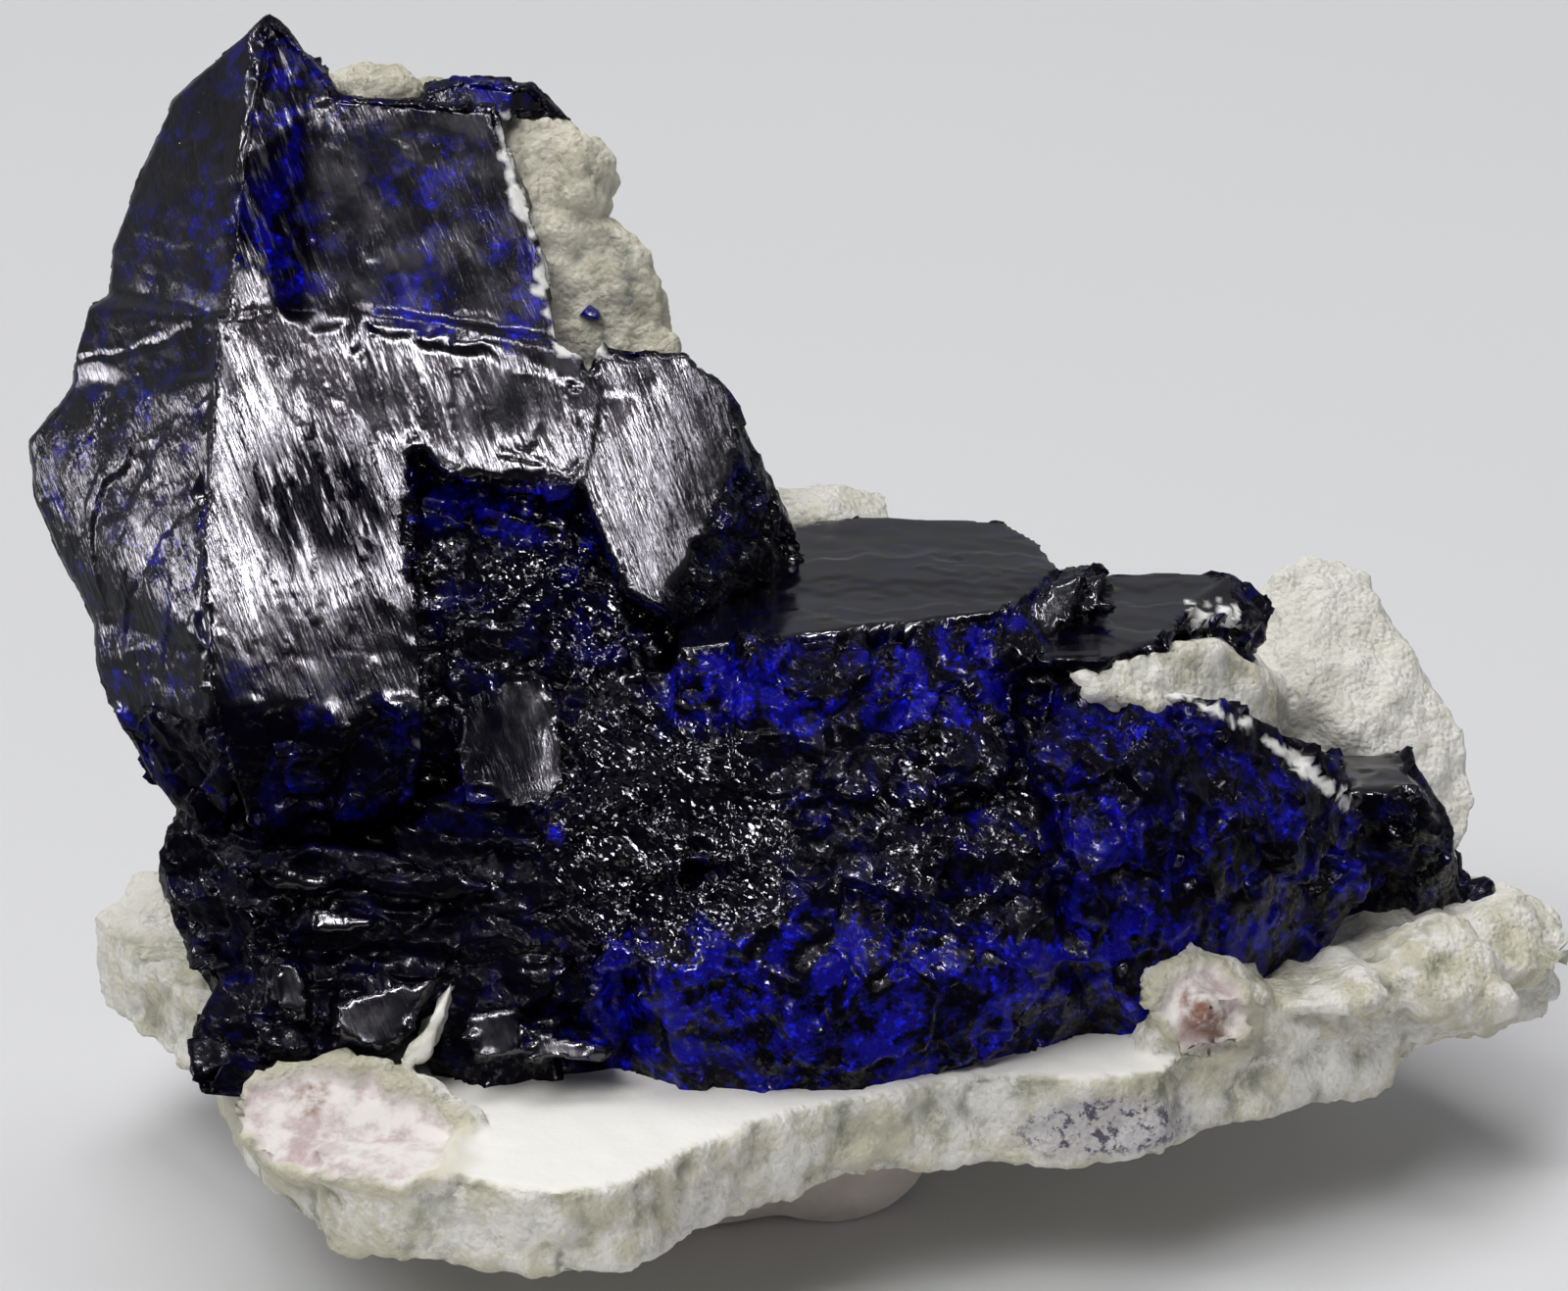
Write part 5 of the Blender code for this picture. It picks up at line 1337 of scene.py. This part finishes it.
def stone_colour(m, place, pale, stained, dark):
    """Pale clay with stained patches, darker in its pits."""
    pit = m.attribute("pit")
    patches = m.noise(place, 0.30, 5, 0.65)
    colour = m.mix(m.times(m.range(patches, 0.42, 0.60), m.attribute("stained")), pale, stained)
    deep = m.times(pit, m.range(m.noise(place, 0.8, 4, 0.7), 0.38, 0.58))
    colour = m.mix(m.times(deep, 0.8), colour, dark)
    return m.mix(m.range(m.noise(place, 1.4, 5, 0.75), 0.62, 0.76, 0, 0.6), colour, dark)


def stone_normal(m, place, depth):
    granules = m.times(m.voronoi(place, 2.4, "Distance"), -0.45)
    relief = m.math("ADD", m.noise(place, 1.5, 7, 0.68), granules)
    return m.bump(m.times(relief, depth), 1.0)


def matrix_material():
    m = Material("matrix", IOR=CLAY_IOR)
    place = m.place()
    top, nodule, rim = m.attribute("top"), m.attribute("nodule"), m.attribute("rim")
    lilac, stain = m.attribute("lilac"), m.attribute("stain")
    colour = stone_colour(m, place, *MATRIX_COLOURS)
    colour = m.mix(m.times(top, 0.95), colour, TOP_WHITE)
    colour = m.mix(m.times(rim, 0.85), colour, RIM_CREAM)
    clouds = m.noise(place, 0.42, 4, 0.65)
    pink = m.mix(m.range(clouds, 0.42, 0.66), *NODULE_COLOURS)
    colour = m.mix(nodule, colour, pink)
    specks = m.range(m.noise(place, 1.5, 4, 0.7), 0.50, 0.62)
    greyed = m.mix(m.times(lilac, 0.7), colour, LILAC_GREY)
    colour = m.mix(m.times(lilac, specks), greyed, LILAC_SPECKS)
    colour = m.mix(m.times(stain, m.range(clouds, 0.35, 0.6)), colour, BROWN_STAIN)
    depth = m.math("SUBTRACT", 0.4, m.times(m.math("MAXIMUM", top, nodule), 0.36))
    return m.finish(colour, CLAY_ROUGHNESS, stone_normal(m, place, depth))


def crust_material():
    m = Material("crust", IOR=CLAY_IOR)
    place = m.place()
    colour = stone_colour(m, place, *CRUST_COLOURS)
    return m.finish(colour, CLAY_ROUGHNESS, stone_normal(m, place, 0.5))


def putty_material():
    m = Material("putty", IOR=CLAY_IOR)
    place = m.place()
    colour = m.mix(m.range(m.noise(place, 0.22, 3), 0.35, 0.65), *PUTTY_COLOURS)
    return m.finish(colour, 0.55, m.bump(m.noise(place, 0.9, 4), 0.12))


def floor_material():
    m = Material("floor")
    spot = m.node("ShaderNodeTexCoord").outputs["Object"]
    colour = m.mix(m.range(m.noise(spot, 3.0, 2), 0.3, 0.7), *FLOOR_COLOURS)
    return m.finish(colour, 0.6, m.bump(m.noise(spot, 40, 2), 0.02))


# The studio

def towards(right_degrees, up_degrees):
    """A direction from the specimen, turned this far right and up from the direction of the camera."""
    right, up = math.radians(right_degrees), math.radians(up_degrees)
    to_camera = Vector((0, -TILT_COS, TILT_SIN))
    camera_up = Vector((0, TILT_SIN, TILT_COS))
    return (Vector((1, 0, 0)) * math.sin(right) * math.cos(up) + camera_up * math.sin(up)
            + to_camera * math.cos(right) * math.cos(up))


def softbox(name, right_degrees, up_degrees, distance, size, radiance, reflections):
    """A soft light of this radiance that makes either the matt or the glossy reflections."""
    light = bpy.data.lights.new(name, "AREA")
    light.shape = "RECTANGLE"
    light.size, light.size_y = size
    light.energy = radiance * math.pi * size[0] * size[1]
    obj = bpy.data.objects.new(name, light)
    direction = towards(right_degrees, up_degrees)
    obj.location = PICTURE_CENTRE * MM + direction * distance
    obj.rotation_euler = direction.to_track_quat("Z", "Y").to_euler()
    obj.visible_diffuse = reflections == "matt"
    obj.visible_glossy = reflections == "gloss"
    if reflections == "gloss":
        light.color = GLOSS_TINT
    bpy.context.scene.collection.objects.link(obj)


def studio():
    scene = bpy.context.scene
    scene.view_settings.view_transform = "Standard"

    camera = bpy.data.cameras.new("camera")
    camera.sensor_width = SENSOR_WIDTH
    camera.lens = SENSOR_WIDTH * VIEW_DISTANCE / PICTURE_WIDTH
    camera.clip_start = 0.01
    camera_object = bpy.data.objects.new("camera", camera)
    camera_object.location = (PICTURE_CENTRE + towards(0, 0) * VIEW_DISTANCE) * MM
    camera_object.rotation_euler = towards(0, 0).to_track_quat("Z", "Y").to_euler()
    scene.collection.objects.link(camera_object)
    scene.camera = camera_object

    bm = bmesh.new()
    bmesh.ops.create_grid(bm, x_segments=8, y_segments=8, size=FLOOR_HALF_SIZE)
    floor = new_object("floor", bm)
    floor.data.materials.append(floor_material())
    floor.visible_glossy = False

    world = scene.world or bpy.data.worlds.new("world")
    scene.world = world
    world.use_nodes = True
    nodes, links = world.node_tree.nodes, world.node_tree.links
    sky = nodes["Background"]
    direction = nodes.new("ShaderNodeTexCoord").outputs["Generated"]
    toward_front = nodes.new("ShaderNodeSeparateXYZ")
    links.new(direction, toward_front.inputs[0])
    share = nodes.new("ShaderNodeMapRange")
    share.inputs["From Min"].default_value = WORLD_CHANGE[0]
    share.inputs["From Max"].default_value = WORLD_CHANGE[1]
    share.inputs["To Min"].default_value = WORLD_FRONT
    share.inputs["To Max"].default_value = WORLD_BACK
    links.new(toward_front.outputs["Y"], share.inputs["Value"])
    links.new(share.outputs["Result"], sky.inputs["Strength"])
    sky.inputs["Color"].default_value = WORLD_COLOUR

    for light in LIGHTS:
        softbox(*light)


def dress(obj, materials, node):
    """Scales a piece to metres, gives it its materials, hangs it under the root body and hides the CAD node
    that it stands for.
    """
    thin_out_rear(obj)
    obj.data.transform(Matrix.Scale(MM, 4))
    for face in obj.data.polygons:
        face.use_smooth = True
    for material in materials:
        obj.data.materials.append(material)
    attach(obj, "root")
    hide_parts(node)


def main():
    azurite = [face_material(), broken_material()]
    dress(azurite_upright(), azurite, "azurite_crystals")
    dress(azurite_low(), azurite, "azurite_crystals")
    dress(crust_crystal(), azurite, "azurite_crystals")
    dress(matrix_slab(), [matrix_material()], "matrix_slab")
    dress(upper_crust(), [crust_material()], "upper_crust")
    dress(putty_pad(), [putty_material()], "putty_pad")
    studio()


main()
